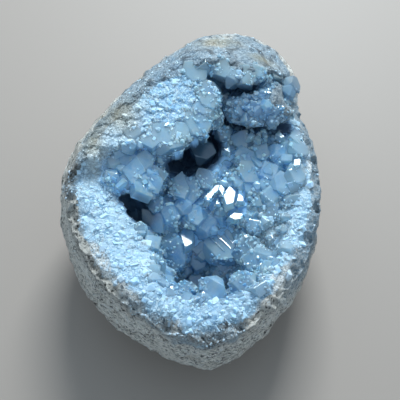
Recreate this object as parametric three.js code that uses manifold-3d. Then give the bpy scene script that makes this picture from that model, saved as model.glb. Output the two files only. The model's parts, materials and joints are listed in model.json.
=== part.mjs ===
// A celestite geode: a nodule broken open across its top, with blue crystals lining the hollow.
// Millimetres, +Z up. +X is to the right and +Y to the back, seen from the open, lower side.
// The origin is the middle of the flat spot's level, under the middle of the nodule's box.
import * as THREE from "three";
import { ConvexGeometry } from "three/addons/geometries/ConvexGeometry.js";
import { mergeVertices } from "three/addons/utils/BufferGeometryUtils.js";
import Module from "manifold-3d";

// The nodule: its outline at its widest level, seen from above, and its height above and below that level.
const OUTLINE = [
  [0, 78], [20, 83], [36, 77], [48, 59], [48, 42], [53, 24], [55, 6], [53, -16], [46, -37], [33, -56],
  [17, -70], [2, -73], [-15, -66], [-32, -54], [-46, -35], [-54, -9], [-52, 14], [-38, 38], [-20, 60],
];
const WIDEST_LEVEL = 34;
const RISE = 46;
const DROP = 35.8;
const FULLNESS = 2.05; // the power of the profile: 2 is an ellipse, and more is boxier
const SWELL = { most: 0.9, x: 9, y: 13, zx: 11, zy: 8 }; // how far its lumps stand out, and how wide they are
const OUTLINE_STEPS = 38;
const LEVEL_STEPS = 18;

// The rind around the lining, and the hairline between the two.
const RIND_THICKNESS = 3.5;
const SEAM = 0.3;

// The broken top. The crust dishes down from the rim, and the floor of the bowl rises to the back.
const CRUST_LEVEL = 46;
const CRUST_TILT = -0.08;
const CRUST_DISH = { rise: 8, halfWidth: 52, halfLength: 72 };
const FLOOR_LEVEL = 41;
const FLOOR_RISE = 0.25;
const FLOOR_TILT = 0.07;
const POCKET = { x: 7, y: -29, depth: 18, halfWidth: 17, halfLength: 13 };
const BOWL = {
  edge: 9,
  corners: [
    [-33, 6], [-33, -5], [-27, -12], [-20, -24], [-14, -34], [-11, -44], [0, -50], [12, -50], [24, -45],
    [34, -36], [39, -25], [43, -12], [46, 4], [46, 22], [40, 44], [5, 45], [-25, 20],
  ],
};

// What still stands above the bowl: the two remains of the roof and the low block on the left.
const STANDING = [
  { name: "left block", level: 52, slope: [-0.05, 0.1], edge: 4, corners: [
    [-36, 14], [-36, -3], [-28, -9], [-21, -7], [-13, -9], [-8, 2], [-6, 14], [-20, 18],
  ] },
  { name: "left roof", level: 58, slope: [-0.05, 0.28], edge: 3, corners: [
    [8, 42], [13, 35], [14, 30], [11, 23], [5, 15], [-3, 8], [-12, 8], [-22, 8], [-31, 7], [-38, 2],
    [-62, -4], [-62, 90], [8, 90],
  ] },
  { name: "back roof", level: 60, slope: [-0.05, 0.3], edge: 4, corners: [
    [2, 38], [11, 34], [18, 30], [27, 31], [33, 36], [40, 45], [47, 54], [62, 60], [62, 90], [2, 90],
  ] },
];

// Hollows under the roofs, each an ellipsoid: middle, then half sizes.
const HOLLOWS = [
  { name: "hollow under the left roof", middle: [0, 20, 46], half: [14, 14, 11] },
  { name: "recess in the back roof", middle: [17, 35, 59], half: [11, 7, 8] },
  { name: "cleft under the back roof", middle: [31, 36, 49.5], half: [25, 9.5, 2.8] },
  { name: "hollow under the left block", middle: [-23, -6, 40], half: [8, 9, 9] },
];
const HOLLOW_SEGMENTS = [18, 10];

// The block that is cut away above the broken top, and the ground that the nodule is flattened on.
const CUT = { width: 130, length: 180, cell: 5, lid: 120 };
const GROUND = { across: 200, depth: 20 };

// Celestite: the normals of its crystal faces, from a : b : c = 0.779 : 1 : 1.280.
const PRISM_ANGLE = THREE.MathUtils.degToRad(38);
const SIDE_DOME_ANGLE = THREE.MathUtils.degToRad(52);
const END_DOME_ANGLE = THREE.MathUtils.degToRad(39.4);
const FORMS = {
  basal: [[0, 0, 1]],
  prism: [[Math.cos(PRISM_ANGLE), Math.sin(PRISM_ANGLE), 0],
    [Math.cos(PRISM_ANGLE), -Math.sin(PRISM_ANGLE), 0]],
  sideDome: [[0, Math.sin(SIDE_DOME_ANGLE), Math.cos(SIDE_DOME_ANGLE)],
    [0, -Math.sin(SIDE_DOME_ANGLE), Math.cos(SIDE_DOME_ANGLE)]],
  endDome: [[Math.sin(END_DOME_ANGLE), 0, Math.cos(END_DOME_ANGLE)],
    [-Math.sin(END_DOME_ANGLE), 0, Math.cos(END_DOME_ANGLE)]],
};
// How far each form lies from a crystal's middle, for a crystal of size 1.
const HABITS = [
  { basal: 0.72, prism: 0.86, sideDome: 0.9 },
  { basal: 0.95, prism: 0.78, sideDome: 0.86, endDome: 1 },
  { basal: 0.85, prism: 0.8, endDome: 0.86 },
];

// Single crystals of their own place: where each stands, its size, the way it points, and its turn.
const LARGE_CRYSTALS = [
  { at: [-7, -21, 29], size: 8.5, points: [-0.1, -0.75, 0.66], turn: 20, habit: 1 },
  { at: [-1, -17, 33], size: 5.5, points: [0.35, -0.3, 0.9], turn: 65, habit: 0 },
  { at: [12, -19, 31], size: 8.5, points: [0.25, -0.5, 0.83], turn: 35, habit: 0 },
  { at: [9, 2, 43], size: 6, points: [-0.2, -0.2, 0.96], turn: 10, habit: 0 },
  { at: [16, 1, 43], size: 6.5, points: [0.15, -0.2, 0.97], turn: 75, habit: 2 },
  { at: [18, -7, 39], size: 6, points: [0.2, -0.4, 0.9], turn: 40, habit: 0 },
  { at: [-14, -6, 39], size: 7.5, points: [-0.1, -0.4, 0.91], turn: 15, habit: 0 },
  { at: [26, 21, 47], size: 4.5, points: [0, -0.35, 0.94], turn: 50, habit: 1 },
  { at: [38, 5, 48], size: 7, points: [0.3, -0.2, 0.93], turn: 25, habit: 2 },
  { at: [4, -30, 19], size: 6.5, points: [0, -0.2, 0.98], turn: 5, habit: 0 },
  { at: [20, -33, 24], size: 7.5, points: [0.2, 0.2, 0.96], turn: 60, habit: 1 },
  { at: [6, -43, 34], size: 6, points: [0, 0.5, 0.87], turn: 30, habit: 0 },
  { at: [-1, 17, 38], size: 6.5, points: [0.3, -0.5, 0.81], turn: 45, habit: 0 },
];

// Crystals on the steep front of the back roof: a few rows, each step going along and up the front.
const FRONT_ROWS = {
  rows: 2, across: 4, left: [16, 30.5, 57], along: [8, 2.4, -0.6], up: [0, 1.5, 8], size: 6,
};

// The druse between them: a lattice of smaller crystals, each moved and turned a little. They stay clear of
// the large crystals and of the hollows, and keep inside the bowl's edge.
const LATTICE = {
  cells: 7, spacing: 10.5, wander: 2.4, smallest: 4.8, largest: 6.4, lean: 0.35, clear: 7, inside: 2, sunk: 1,
};

const MILKY_BLUE = new THREE.MeshStandardMaterial({ color: 0x8fb4d2, roughness: 0.25, metalness: 0 });
const GREY_STONE = new THREE.MeshStandardMaterial({ color: 0x8b8d88, roughness: 0.9, metalness: 0 });

const wasm = await Module();
wasm.setup();

function solidOf(geometry) {
  geometry.deleteAttribute("normal");
  geometry.deleteAttribute("uv");
  const merged = mergeVertices(geometry, 1e-3);
  const vertProperties = merged.attributes.position.array;
  const triVerts = new Uint32Array(merged.index.array);
  return new wasm.Manifold(new wasm.Mesh({ numProp: 3, vertProperties, triVerts }));
}

function geometryOf(solid) {
  const { vertProperties, triVerts } = solid.getMesh();
  const geometry = new THREE.BufferGeometry();
  geometry.setAttribute("position", new THREE.BufferAttribute(vertProperties, 3));
  geometry.setIndex(new THREE.BufferAttribute(triVerts, 1));
  return geometry;
}

// A number from 0 to 1 that looks random and is the same for the same i, j and k.
function scatter(i, j, k) {
  const wave = Math.sin(i * 12.9898 + j * 78.233 + k * 37.719) * 43758.5453;
  return wave - Math.floor(wave);
}

function smoothstep(t) {
  const u = THREE.MathUtils.clamp(t, 0, 1);
  return u * u * (3 - 2 * u);
}

// The distance from a point to a closed outline, positive inside it.
function depthInside(x, y, corners) {
  let nearest = Infinity;
  let inside = false;
  corners.forEach(([ax, ay], i) => {
    const [bx, by] = corners[(i + 1) % corners.length];
    const [ex, ey] = [bx - ax, by - ay];
    const along = THREE.MathUtils.clamp(((x - ax) * ex + (y - ay) * ey) / (ex * ex + ey * ey), 0, 1);
    nearest = Math.min(nearest, Math.hypot(x - ax - along * ex, y - ay - along * ey));
    if (ay > y !== by > y && x < ax + (ex * (y - ay)) / ey) inside = !inside;
  });
  return inside ? nearest : -nearest;
}

// The height of the broken top over a point of the ground.
function brokenTop(x, y) {
  const outward = (x / CRUST_DISH.halfWidth) ** 2 + (y / CRUST_DISH.halfLength) ** 2;
  const crust = CRUST_LEVEL + CRUST_TILT * x + CRUST_DISH.rise * outward;
  const across = (x - POCKET.x) / POCKET.halfWidth;
  const along = (y - POCKET.y) / POCKET.halfLength;
  const pocket = POCKET.depth * Math.exp(-across * across - along * along);
  const floor = FLOOR_LEVEL + FLOOR_RISE * y + FLOOR_TILT * x - pocket;
  let z = THREE.MathUtils.lerp(crust, floor, smoothstep(depthInside(x, y, BOWL.corners) / BOWL.edge));
  for (const { level, slope, edge, corners } of STANDING) {
    const height = level + slope[0] * x + slope[1] * y;
    z = THREE.MathUtils.lerp(z, height, smoothstep(depthInside(x, y, corners) / edge + 0.5));
  }
  return z;
}

// The nodule's surface, or a smooth one inset from it: the outline carried from pole to pole.
function noduleSolid(inset) {
  const points = OUTLINE.map(([x, y]) => new THREE.Vector3(x, y, 0));
  const outline = new THREE.CatmullRomCurve3(points, true, "catmullrom", 0.5);
  const ring = outline.getPoints(OUTLINE_STEPS).slice(0, -1);
  const sphere = new THREE.SphereGeometry(1, OUTLINE_STEPS, LEVEL_STEPS);
  const position = sphere.attributes.position;
  for (let level = 0; level <= LEVEL_STEPS; level++) {
    const latitude = Math.PI / 2 - (Math.PI * level) / LEVEL_STEPS;
    const rise = Math.abs(Math.sin(latitude)) ** (2 / FULLNESS) * Math.sign(latitude);
    const reach = Math.max(0, Math.cos(latitude)) ** (2 / FULLNESS);
    const height = WIDEST_LEVEL + rise * ((latitude > 0 ? RISE : DROP) - inset);
    for (let step = 0; step <= OUTLINE_STEPS; step++) {
      const { x, y } = ring[(OUTLINE_STEPS - step) % OUTLINE_STEPS];
      const wave = Math.sin(x / SWELL.x + height / SWELL.zx) * Math.cos(y / SWELL.y - height / SWELL.zy);
      const outward = inset > 0 ? -inset : SWELL.most * wave;
      const share = reach * (1 + outward / Math.hypot(x, y));
      position.setXYZ(level * (OUTLINE_STEPS + 1) + step, x * share, y * share, height);
    }
  }
  return solidOf(sphere);
}

// Everything above the broken top, as one block to cut away.
function overTopSolid() {
  const { width, length, cell, lid } = CUT;
  const block = new THREE.BoxGeometry(width, length, 1, width / cell, length / cell, 1);
  const position = block.attributes.position;
  for (let i = 0; i < position.count; i++) {
    const [x, y] = [position.getX(i), position.getY(i)];
    position.setZ(i, position.getZ(i) > 0 ? lid : brokenTop(x, y));
  }
  return solidOf(block);
}

function hollowSolid({ middle, half }) {
  const ball = new THREE.SphereGeometry(1, ...HOLLOW_SEGMENTS);
  return solidOf(ball.scale(...half).translate(...middle));
}

// The corners of a crystal of size 1: the points where three faces meet that no other face cuts off.
function crystalCorners(habit) {
  const faces = Object.entries(habit).flatMap(([form, distance]) =>
    FORMS[form].flatMap((n) => [1, -1].map((side) => ({
      normal: new THREE.Vector3(...n).multiplyScalar(side),
      distance,
    }))));
  const corners = [];
  for (let i = 0; i < faces.length; i++)
    for (let j = i + 1; j < faces.length; j++)
      for (let k = j + 1; k < faces.length; k++) {
        const [a, b, c] = [faces[i], faces[j], faces[k]];
        const bc = b.normal.clone().cross(c.normal);
        const volume = a.normal.dot(bc);
        if (Math.abs(volume) < 1e-6) continue;
        const corner = bc.multiplyScalar(a.distance)
          .add(c.normal.clone().cross(a.normal).multiplyScalar(b.distance))
          .add(a.normal.clone().cross(b.normal).multiplyScalar(c.distance))
          .divideScalar(volume);
        if (faces.every(({ normal, distance }) => normal.dot(corner) < distance + 1e-6)) corners.push(corner);
      }
  return corners;
}

const CORNERS = HABITS.map(crystalCorners);

function crystalSolid({ at, size, points, turn, habit }) {
  const up = new THREE.Vector3(0, 0, 1);
  const spin = new THREE.Quaternion().setFromAxisAngle(up, THREE.MathUtils.degToRad(turn));
  const aim = new THREE.Quaternion().setFromUnitVectors(up, new THREE.Vector3(...points).normalize());
  const middle = new THREE.Vector3(...at);
  const corners = CORNERS[habit].map((corner) =>
    corner.clone().multiplyScalar(size).applyQuaternion(spin).applyQuaternion(aim).add(middle));
  return solidOf(new ConvexGeometry(corners));
}

function frontCrystals() {
  const { rows, across, left, along, up, size } = FRONT_ROWS;
  const crystals = [];
  for (let row = 0; row < rows; row++)
    for (let step = 0; step < across; step++)
      crystals.push({
        at: left.map((value, axis) => value + along[axis] * (step + 0.5 * (row % 2)) + up[axis] * row),
        size: size * (0.85 + 0.3 * scatter(row, step, 1)),
        points: [scatter(row, step, 2) - 0.5, -0.9, 0.3 + 0.4 * scatter(row, step, 3)],
        turn: 180 * scatter(row, step, 4),
        habit: (row + step) % HABITS.length,
      });
  return crystals;
}

// Whether a crystal of the druse can stand over a point of the ground.
function isOpenFloor(x, y) {
  const underRoof = STANDING.some(({ name, corners }) =>
    name.includes("roof") && depthInside(x, y, corners) > 0);
  const overHollow = HOLLOWS.some(({ middle, half }) =>
    Math.hypot((x - middle[0]) / half[0], (y - middle[1]) / half[1]) < 1);
  const nearLarge = LARGE_CRYSTALS.some(({ at }) => Math.hypot(x - at[0], y - at[1]) < LATTICE.clear);
  return depthInside(x, y, BOWL.corners) > LATTICE.inside && !underRoof && !overHollow && !nearLarge;
}

// The druse: crystals on a lattice over the bowl, pointing about the way the floor faces there.
function druseCrystals() {
  const { cells, spacing, wander, smallest, largest, lean, sunk } = LATTICE;
  const crystals = [];
  const slopeStep = 1;
  for (let i = -cells; i <= cells; i++)
    for (let j = -cells; j <= cells; j++) {
      const x = (i + 0.5 * (j & 1)) * spacing + wander * (2 * scatter(i, j, 1) - 1);
      const y = (j * spacing * Math.sqrt(3)) / 2 + wander * (2 * scatter(i, j, 2) - 1);
      if (!isOpenFloor(x, y)) continue;
      const z = brokenTop(x, y);
      crystals.push({
        at: [x, y, z - sunk],
        size: THREE.MathUtils.lerp(smallest, largest, scatter(i, j, 3)),
        points: [
          z - brokenTop(x + slopeStep, y) + lean * (2 * scatter(i, j, 4) - 1),
          z - brokenTop(x, y + slopeStep) + lean * (2 * scatter(i, j, 5) - 1),
          slopeStep,
        ],
        turn: 180 * scatter(i, j, 6),
        habit: Math.floor(HABITS.length * scatter(i, j, 7)),
      });
    }
  return crystals;
}

function joined(solids) {
  return solids.reduce((whole, solid) => whole.add(solid));
}

const overTop = overTopSolid();
const hollows = joined(HOLLOWS.map(hollowSolid));
const { across, depth } = GROUND;
const ground = solidOf(new THREE.BoxGeometry(across, across, depth).translate(0, 0, -depth / 2));
const whole = noduleSolid(0).subtract(ground);
const broken = whole.subtract(overTop);

const rind = broken.subtract(noduleSolid(RIND_THICKNESS)).subtract(hollows);
const lining = noduleSolid(RIND_THICKNESS + SEAM);
const crystals = joined([...LARGE_CRYSTALS, ...frontCrystals(), ...druseCrystals()].map(crystalSolid));
const druse = lining.subtract(overTop).subtract(hollows).add(crystals.intersect(lining));

function named(name, solid, material) {
  const mesh = new THREE.Mesh(geometryOf(solid), material);
  mesh.name = name;
  return mesh;
}

// The nodule's box is centred over the origin, and its flat spot lies on z = 0.
const box = whole.boundingBox();
const geode = new THREE.Group();
geode.add(named("rind", rind, GREY_STONE), named("celestite_lining", druse, MILKY_BLUE));
geode.position.set(-(box.min[0] + box.max[0]) / 2, -(box.min[1] + box.max[1]) / 2, 0);

export default geode;
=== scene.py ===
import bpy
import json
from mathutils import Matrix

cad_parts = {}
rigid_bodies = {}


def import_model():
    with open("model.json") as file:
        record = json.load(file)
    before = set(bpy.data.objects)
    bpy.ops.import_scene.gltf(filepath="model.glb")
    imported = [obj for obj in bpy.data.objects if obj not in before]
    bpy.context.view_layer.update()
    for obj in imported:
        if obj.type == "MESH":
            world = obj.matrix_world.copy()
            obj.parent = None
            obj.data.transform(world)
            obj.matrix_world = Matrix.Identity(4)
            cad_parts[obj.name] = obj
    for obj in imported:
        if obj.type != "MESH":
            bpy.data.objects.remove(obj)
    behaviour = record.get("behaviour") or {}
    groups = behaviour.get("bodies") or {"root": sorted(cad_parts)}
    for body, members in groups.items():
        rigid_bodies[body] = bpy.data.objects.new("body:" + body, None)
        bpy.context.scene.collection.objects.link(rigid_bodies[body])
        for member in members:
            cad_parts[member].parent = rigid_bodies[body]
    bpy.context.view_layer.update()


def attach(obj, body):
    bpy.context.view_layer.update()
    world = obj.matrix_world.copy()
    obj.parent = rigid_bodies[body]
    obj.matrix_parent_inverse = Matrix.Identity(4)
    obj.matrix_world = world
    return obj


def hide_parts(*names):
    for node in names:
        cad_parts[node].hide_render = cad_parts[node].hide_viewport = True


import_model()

# %% The rest of what this script uses
import itertools
import json
import math

import bmesh
import bpy
import numpy as np
from mathutils import Vector

MM = 0.001
# The middle of the nodule's box, in the millimetres that everything here is drawn in.
MIDDLE = np.array([0.181, 4.942, 0.0])


def to_frame(points):
    """Drawing millimetres to the frame's metres: the middle is taken off, and the rest is scaled."""
    return (points - MIDDLE) * MM


# %% [markdown]
# Stone is never even, so every surface here needs numbers that look random and yet come out the same each
# time. Blender's own noise textures could displace a mesh, but a few lines of numpy keep full control of
# where the noise acts. Two kinds are enough: a soft one for lumps, and one of flat grains for broken
# crystal.
# %% Random numbers, soft lumps and grains
def scatter(i, j, k=0.0):
    """A number from 0 to 1: what is left after the point of sin(12.9898 i + 78.233 j + 37.719 k) times
    43758.5453."""
    wave = np.sin(i * 12.9898 + j * 78.233 + k * 37.719) * 43758.5453
    return wave - np.floor(wave)


def either_way(i, j, seed, count=3):
    """Numbers from -1 to 1, `count` of them side by side for each pair: twice a random number, less 1."""
    return np.stack([2 * scatter(i, j, seed + axis) - 1 for axis in range(count)], -1)


def lumps(points, width, seed=0.0):
    """Soft noise from -1 to 1. Each corner of a cubic lattice has a random height, and a point takes the
    heights of the eight corners around it, each by its smooth share."""
    place = points / width
    cell = np.floor(place)
    share = place - cell
    share = share * share * (3 - 2 * share)
    total = 0.0
    for corner in itertools.product((0, 1), repeat=3):
        weight = np.prod(np.where(corner, share, 1 - share), axis=-1)
        at = cell + corner
        total = total + weight * scatter(at[..., 0], at[..., 1], at[..., 2] + seed)
    return 2 * total - 1


def rough_lumps(points, width, octaves, seed=0.0):
    """Soft noise added to itself at half the width and half the height, a few times over."""
    return sum(lumps(points, width / 2 ** n, seed + 5 * n) / 2 ** n for n in range(octaves))


def grains(points, width, seed=0.0):
    """The grain that each point lies in. Each cell of a lattice holds one seed at a random place, and a point
    belongs to the nearest of the seeds around it. Returns that seed and the distance to it."""
    place = points / width
    home = np.floor(place)
    nearest = np.full(place.shape[:-1], np.inf)
    owner = np.zeros_like(place)
    for step in itertools.product((-1, 0, 1), repeat=place.shape[-1]):
        cell = home + step
        depth = cell[..., 2] if cell.shape[-1] == 3 else 0.0
        at = np.stack([cell[..., axis] + scatter(cell[..., 0], cell[..., 1], depth + seed + 7 * axis)
                       for axis in range(cell.shape[-1])], -1)
        away = np.linalg.norm(at - place, axis=-1)
        closer = away < nearest
        owner = np.where(closer[..., None], at, owner)
        nearest = np.where(closer, away, nearest)
    return owner * width, nearest * width


def broken_facets(points, width, steep, seed=0.0):
    """Flat broken faces: inside each grain the height is a plane through the grain's own seed, tilted at
    random by up to the slope that is given, plus a random step up or down."""
    owner, _ = grains(points, width, seed)
    tilt = either_way(owner[..., 0], owner[..., 1], seed, points.shape[-1])
    step = 2 * scatter(owner[..., 1], owner[..., 0], seed + 3) - 1
    return steep * ((tilt * (points - owner)).sum(-1) + 0.35 * width * step)


def smoothstep(t):
    """0 below 0, 1 above 1, and 3t^2 - 2t^3 between them."""
    t = np.clip(t, 0, 1)
    return t * t * (3 - 2 * t)


def eased(value, start, over):
    """0 up to `start`, then a smooth rise to 1 over the next `over`. A negative `over` turns it round: 0
    above `start`, and a smooth rise to 1 over as much below it."""
    return smoothstep((value - start) / over)


# %% [markdown]
# Meshes are made from whole arrays. A polygon list is two arrays: the corners of all faces in one row,
# and how many of them each face takes. `foreach_set` copies both into the mesh in one go. Each face also
# remembers which skin it was made for, because a boolean keeps that number, and colours and crystals need
# it later.
# %% From arrays to a Blender object
OUTER, INNER, BROKEN, HOLLOW, CRYSTAL = 1, 2, 3, 4, 5


def in_scene(name, data):
    """A new object with that data, linked into the scene."""
    thing = bpy.data.objects.new(name, data)
    bpy.context.scene.collection.objects.link(thing)
    return thing


def to_object(name, points, corners, counts, skin=CRYSTAL):
    """A mesh object from points (n, 3) in drawing millimetres, the faces' corners in a row, and each face's
    number of corners."""
    mesh = bpy.data.meshes.new(name)
    mesh.vertices.add(len(points))
    mesh.vertices.foreach_set("co", to_frame(points).astype(np.float32).ravel())
    mesh.loops.add(len(corners))
    mesh.loops.foreach_set("vertex_index", corners.astype(np.int32))
    mesh.polygons.add(len(counts))
    starts = np.concatenate([[0], np.cumsum(counts)[:-1]])
    mesh.polygons.foreach_set("loop_start", starts.astype(np.int32))
    mesh.update(calc_edges=True)
    mesh.validate()
    mesh.polygons.foreach_set("use_smooth", np.full(len(mesh.polygons), skin == OUTER))
    made_for = mesh.attributes.new("skin", "FLOAT", "FACE")
    made_for.data.foreach_set("value", np.full(len(mesh.polygons), skin, np.float32))
    return in_scene(name, mesh)


def closed_shell(name, rows, top, bottom, skin):
    """A closed skin from rows of points (levels, steps, 3), from the lowest row up. Quads join neighbours,
    each row closes on itself, and a fan of triangles closes each end at its pole."""
    levels, steps = rows.shape[:2]
    index = np.arange(levels * steps).reshape(levels, steps)
    ahead = np.roll(index, -1, axis=1)
    quads = np.stack([index[:-1], ahead[:-1], ahead[1:], index[1:]], -1).reshape(-1)
    low, high = levels * steps, levels * steps + 1
    floor_fan = np.stack([ahead[0], index[0], np.full(steps, low)], -1).reshape(-1)
    lid_fan = np.stack([index[-1], ahead[-1], np.full(steps, high)], -1).reshape(-1)
    points = np.concatenate([rows.reshape(-1, 3), [bottom], [top]])
    counts = np.concatenate([np.full((levels - 1) * steps, 4), np.full(2 * steps, 3)])
    return to_object(name, points, np.concatenate([quads, floor_fan, lid_fan]), counts, skin)


print("skins that a face can be made for:", OUTER, INNER, BROKEN, HOLLOW, CRYSTAL)

# %% [markdown]
# The nodule is an egg with an uneven outline. Seen from above, its widest level is a closed curve through
# nineteen points. Upward and downward the same outline shrinks along a rounded profile to a pole, so the
# whole surface is a function of two numbers: the place along the outline, and the latitude.
# %% The outline and the nodule's surface
OUTLINE = np.array([
    [0, 78], [20, 83], [36, 77], [48, 59], [48, 42], [53, 24], [55, 6], [53, -16], [46, -37], [33, -56],
    [17, -70], [2, -73], [-15, -66], [-32, -54], [-46, -35], [-54, -9], [-52, 14], [-38, 38], [-20, 60],
], float)
WIDEST_LEVEL, RISE, DROP, FULLNESS = 34.0, 46.0, 35.8, 2.05


def outline_curve(steps_each):
    """The closed Catmull-Rom curve through the outline's points, counter-clockwise: between p1 and p2 it is a
    cubic whose slope at each end is half the way between that end's two neighbours."""
    points = OUTLINE[::-1]
    before, start, end, after = (np.roll(points, shift, axis=0)[:, None] for shift in (1, 0, -1, -2))
    t = (np.arange(steps_each) / steps_each)[None, :, None]
    curve = 0.5 * (2 * start + (end - before) * t + (2 * before - 5 * start + 4 * end - after) * t ** 2
                   + (3 * start - before - 3 * end + after) * t ** 3)
    return curve.reshape(-1, 2)


def nodule_rows(steps_each, levels, inset):
    """Rows of points from pole to pole. At latitude a the height is sin(a)^(2/F) and the reach is
    cos(a)^(2/F), with F the fullness of the profile. Returns the rows and the outward direction of each."""
    ring = outline_curve(steps_each)
    latitude = np.pi * (np.arange(1, levels) / levels - 0.5)
    rise = np.abs(np.sin(latitude)) ** (2 / FULLNESS) * np.sign(latitude)
    reach = np.cos(latitude) ** (2 / FULLNESS)
    height = WIDEST_LEVEL + rise * (np.where(latitude > 0, RISE, DROP) - inset)
    away = np.linalg.norm(ring, axis=1)
    shrunk = ring * (1 - inset / away)[:, None]
    flat = reach[:, None, None] * shrunk[None]
    rows = np.concatenate([flat, np.broadcast_to(height[:, None, None], flat.shape[:2] + (1,))], -1)
    tangent = np.roll(rows, -1, axis=1) - np.roll(rows, 1, axis=1)
    upward = np.gradient(rows, axis=0)
    outward = np.cross(tangent, upward)
    return rows, outward / np.linalg.norm(outward, axis=-1, keepdims=True)


print("outline:", len(OUTLINE), "points, widest at", WIDEST_LEVEL, "mm")

# %% [markdown]
# The rind is weathered limestone: it has broad swells, thin layers that run around it nearly level, and
# small pits where grains fell out. All of it goes inward from the smooth egg, so the stone never grows
# past its true size, and nothing reaches in as far as the lining. The underside is pressed flat where the
# nodule rests.
# %% The rind's outer skin
RIND_CLEARANCE = 0.05
SWELLS, LAYERS, GRIT, PITS, KNOBS = 0.6, 0.55, 1.1, 1.3, 1.0  # how deep each kind of relief is
DEEPEST = 2.3
LAYER_STRETCH = np.array([1.0, 1.0, 4.5])
KNOB_STRETCH = np.array([1.0, 1.0, 1.6])


def rind_skin(steps_each, levels):
    """The egg, moved inward by the sum of swells, level layers, grit, pits and knobs, but never by more than
    DEEPEST. Each is its depth times soft noise brought to the range from 0 to 1. Pits are only where their
    noise is above 0.3. Heights are stretched before the noise of layers and knobs, which makes both flat."""
    rows, outward = nodule_rows(steps_each, levels, 0.0)
    swell = SWELLS * (1 + lumps(rows, width=17.0, seed=1.0)) / 2
    layers = LAYERS * (1 + rough_lumps(rows * LAYER_STRETCH, width=9.0, octaves=3, seed=2.0)) / 2
    grit = GRIT * (1 + rough_lumps(rows, width=2.8, octaves=2, seed=3.0)) / 2
    pits = PITS * eased(lumps(rows, width=4.4, seed=4.0), start=0.30, over=0.4)
    knobs = KNOBS * (1 + rough_lumps(rows * KNOB_STRETCH, width=6.0, octaves=2, seed=5.0)) / 2
    depth = np.minimum(RIND_CLEARANCE + swell + layers + grit + pits + knobs, DEEPEST)
    rows = rows - outward * depth[..., None]
    rows[..., 2] = np.maximum(rows[..., 2], 0.0)
    return rows


outer = closed_shell("outer_skin", rind_skin(steps_each=24, levels=200),
                     [0, 0, WIDEST_LEVEL + RISE], [0, 0, 0], OUTER)
print("outer skin:", len(outer.data.polygons), "faces")

# %% [markdown]
# The lining fills the inside of the rind. The seam between the two is uneven, because the celestite grew
# into the rock, so the inner skin is a smaller egg whose depth wanders by about a millimetre. The bottom
# pole is set a little above the ground, so the rind has a floor of its own.
# %% The inner skin
RIND_THICKNESS = 3.4
SEAM_GAP, SEAM_WANDER = 1.1, 0.9
TOP_POLE, BOTTOM_POLE = WIDEST_LEVEL + RISE - 4, 2.2


def inner_skin(steps_each, levels):
    """An egg that is smaller by the rind's thickness and the seam's gap, wandering in and out by soft
    noise."""
    rows, outward = nodule_rows(steps_each, levels, RIND_THICKNESS)
    wander = SEAM_WANDER * rough_lumps(rows, width=8.0, octaves=2, seed=11.0)
    return rows - outward * (SEAM_GAP + wander)[..., None]


inner = closed_shell("inner_skin", inner_skin(steps_each=10, levels=84),
                     [0, 0, TOP_POLE], [0, 0, BOTTOM_POLE], INNER)
print("inner skin:", len(inner.data.polygons), "faces")

# %% [markdown]
# The broken top is a landscape: a height for each point of the ground. The crust dishes down from the
# rim, the floor of the bowl rises to the back, and the two remains of the roof and one low block stand
# above it. Each standing part is a polygon on the map with a steep edge. Real edges of broken celestite
# are jagged, so the polygon is asked at a place drawn towards the middle of the grain that a point lies
# in, and most grains stand or fall as one. A standing part is written as its level, its slope to the
# right and to the back, the width of its edge, and its outline. The pocket in the bowl, the frosted
# parts, the places at the rim where weather bared the stone, and the ochre stains are soft round spots: a
# middle and two half widths.
# %% The map of the broken top
BOWL = [(-33, 6), (-33, -5), (-27, -12), (-20, -24), (-15, -35), (-13, -46), (-2, -54), (13, -54), (26, -48),
        (35, -37), (39, -25), (43, -12), (46, 4), (46, 22), (40, 44), (5, 45), (-25, 20)]
LEFT_BLOCK = [(-36, 14), (-36, -3), (-28, -9), (-21, -7), (-15, -9), (-11, 2), (-10, 14), (-20, 18)]
LEFT_ROOF = [(4, 46), (6, 38), (9, 35), (12, 32), (11.5, 27), (10, 23), (8, 18), (4.5, 13), (0, 11.5),
             (-2.5, 9.5), (-6, 7.3), (-12, 7.5), (-19, 9.5), (-31, 7), (-38, 2), (-62, -4), (-62, 90),
             (4, 90)]
BACK_ROOF = [(2, 42), (11, 38), (18, 33.5), (21, 34), (27.5, 35), (29, 39.5), (33, 41), (40, 46), (47, 54),
             (62, 60), (62, 90), (2, 90)]
# The third and fourth frosty spots, under the hanging mass, whiten small crystals that are pale of their own
# and also stand in for glints that the window does not reach there: partly painted highlight.
FROSTY = [((38, -13), (11, 11)), ((30, -23), (9, 6)), ((27, 19), (5, 2.5)), ((36, 19.5), (2.5, 2.5)),
          ((19, 37), (10, 4))]
WEATHERED = [((-36, -42), (14, 14)), ((38, -44), (10, 10))]
STAINED = [((-27, 20), (8, 9)), ((12, 58), (9, 5)), ((-38, 8), (5, 8)), ((29, 48), (6, 3))]
STANDING = [(52, -0.05, 0.10, 4, LEFT_BLOCK), (58, -0.05, 0.28, 3, LEFT_ROOF),
            (60, -0.05, 0.30, 4, BACK_ROOF)]
POCKET, POCKET_DEPTH = ((7, -32), (17, 14)), 19


def depth_inside(x, y, corners):
    """The distance to a closed outline, positive inside it: the nearest of its edges, with the sign from
    counting how many edges a line to the right crosses."""
    nearest = np.full(x.shape, np.inf)
    inside = np.zeros(x.shape, bool)
    for (ax, ay), (bx, by) in zip(corners, corners[1:] + corners[:1]):
        ex, ey = bx - ax, by - ay
        along = np.clip(((x - ax) * ex + (y - ay) * ey) / (ex * ex + ey * ey), 0, 1)
        nearest = np.minimum(nearest, np.hypot(x - ax - along * ex, y - ay - along * ey))
        if ey:
            inside ^= ((ay > y) != (by > y)) & (x < ax + ex * (y - ay) / ey)
    return np.where(inside, nearest, -nearest)


def spots(x, y, places):
    """The sum of soft round spots: exp(-(dx/w)^2 - (dy/h)^2) for each place."""
    return sum(np.exp(-((x - cx) / w) ** 2 - ((y - cy) / h) ** 2) for (cx, cy), (w, h) in places)


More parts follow.
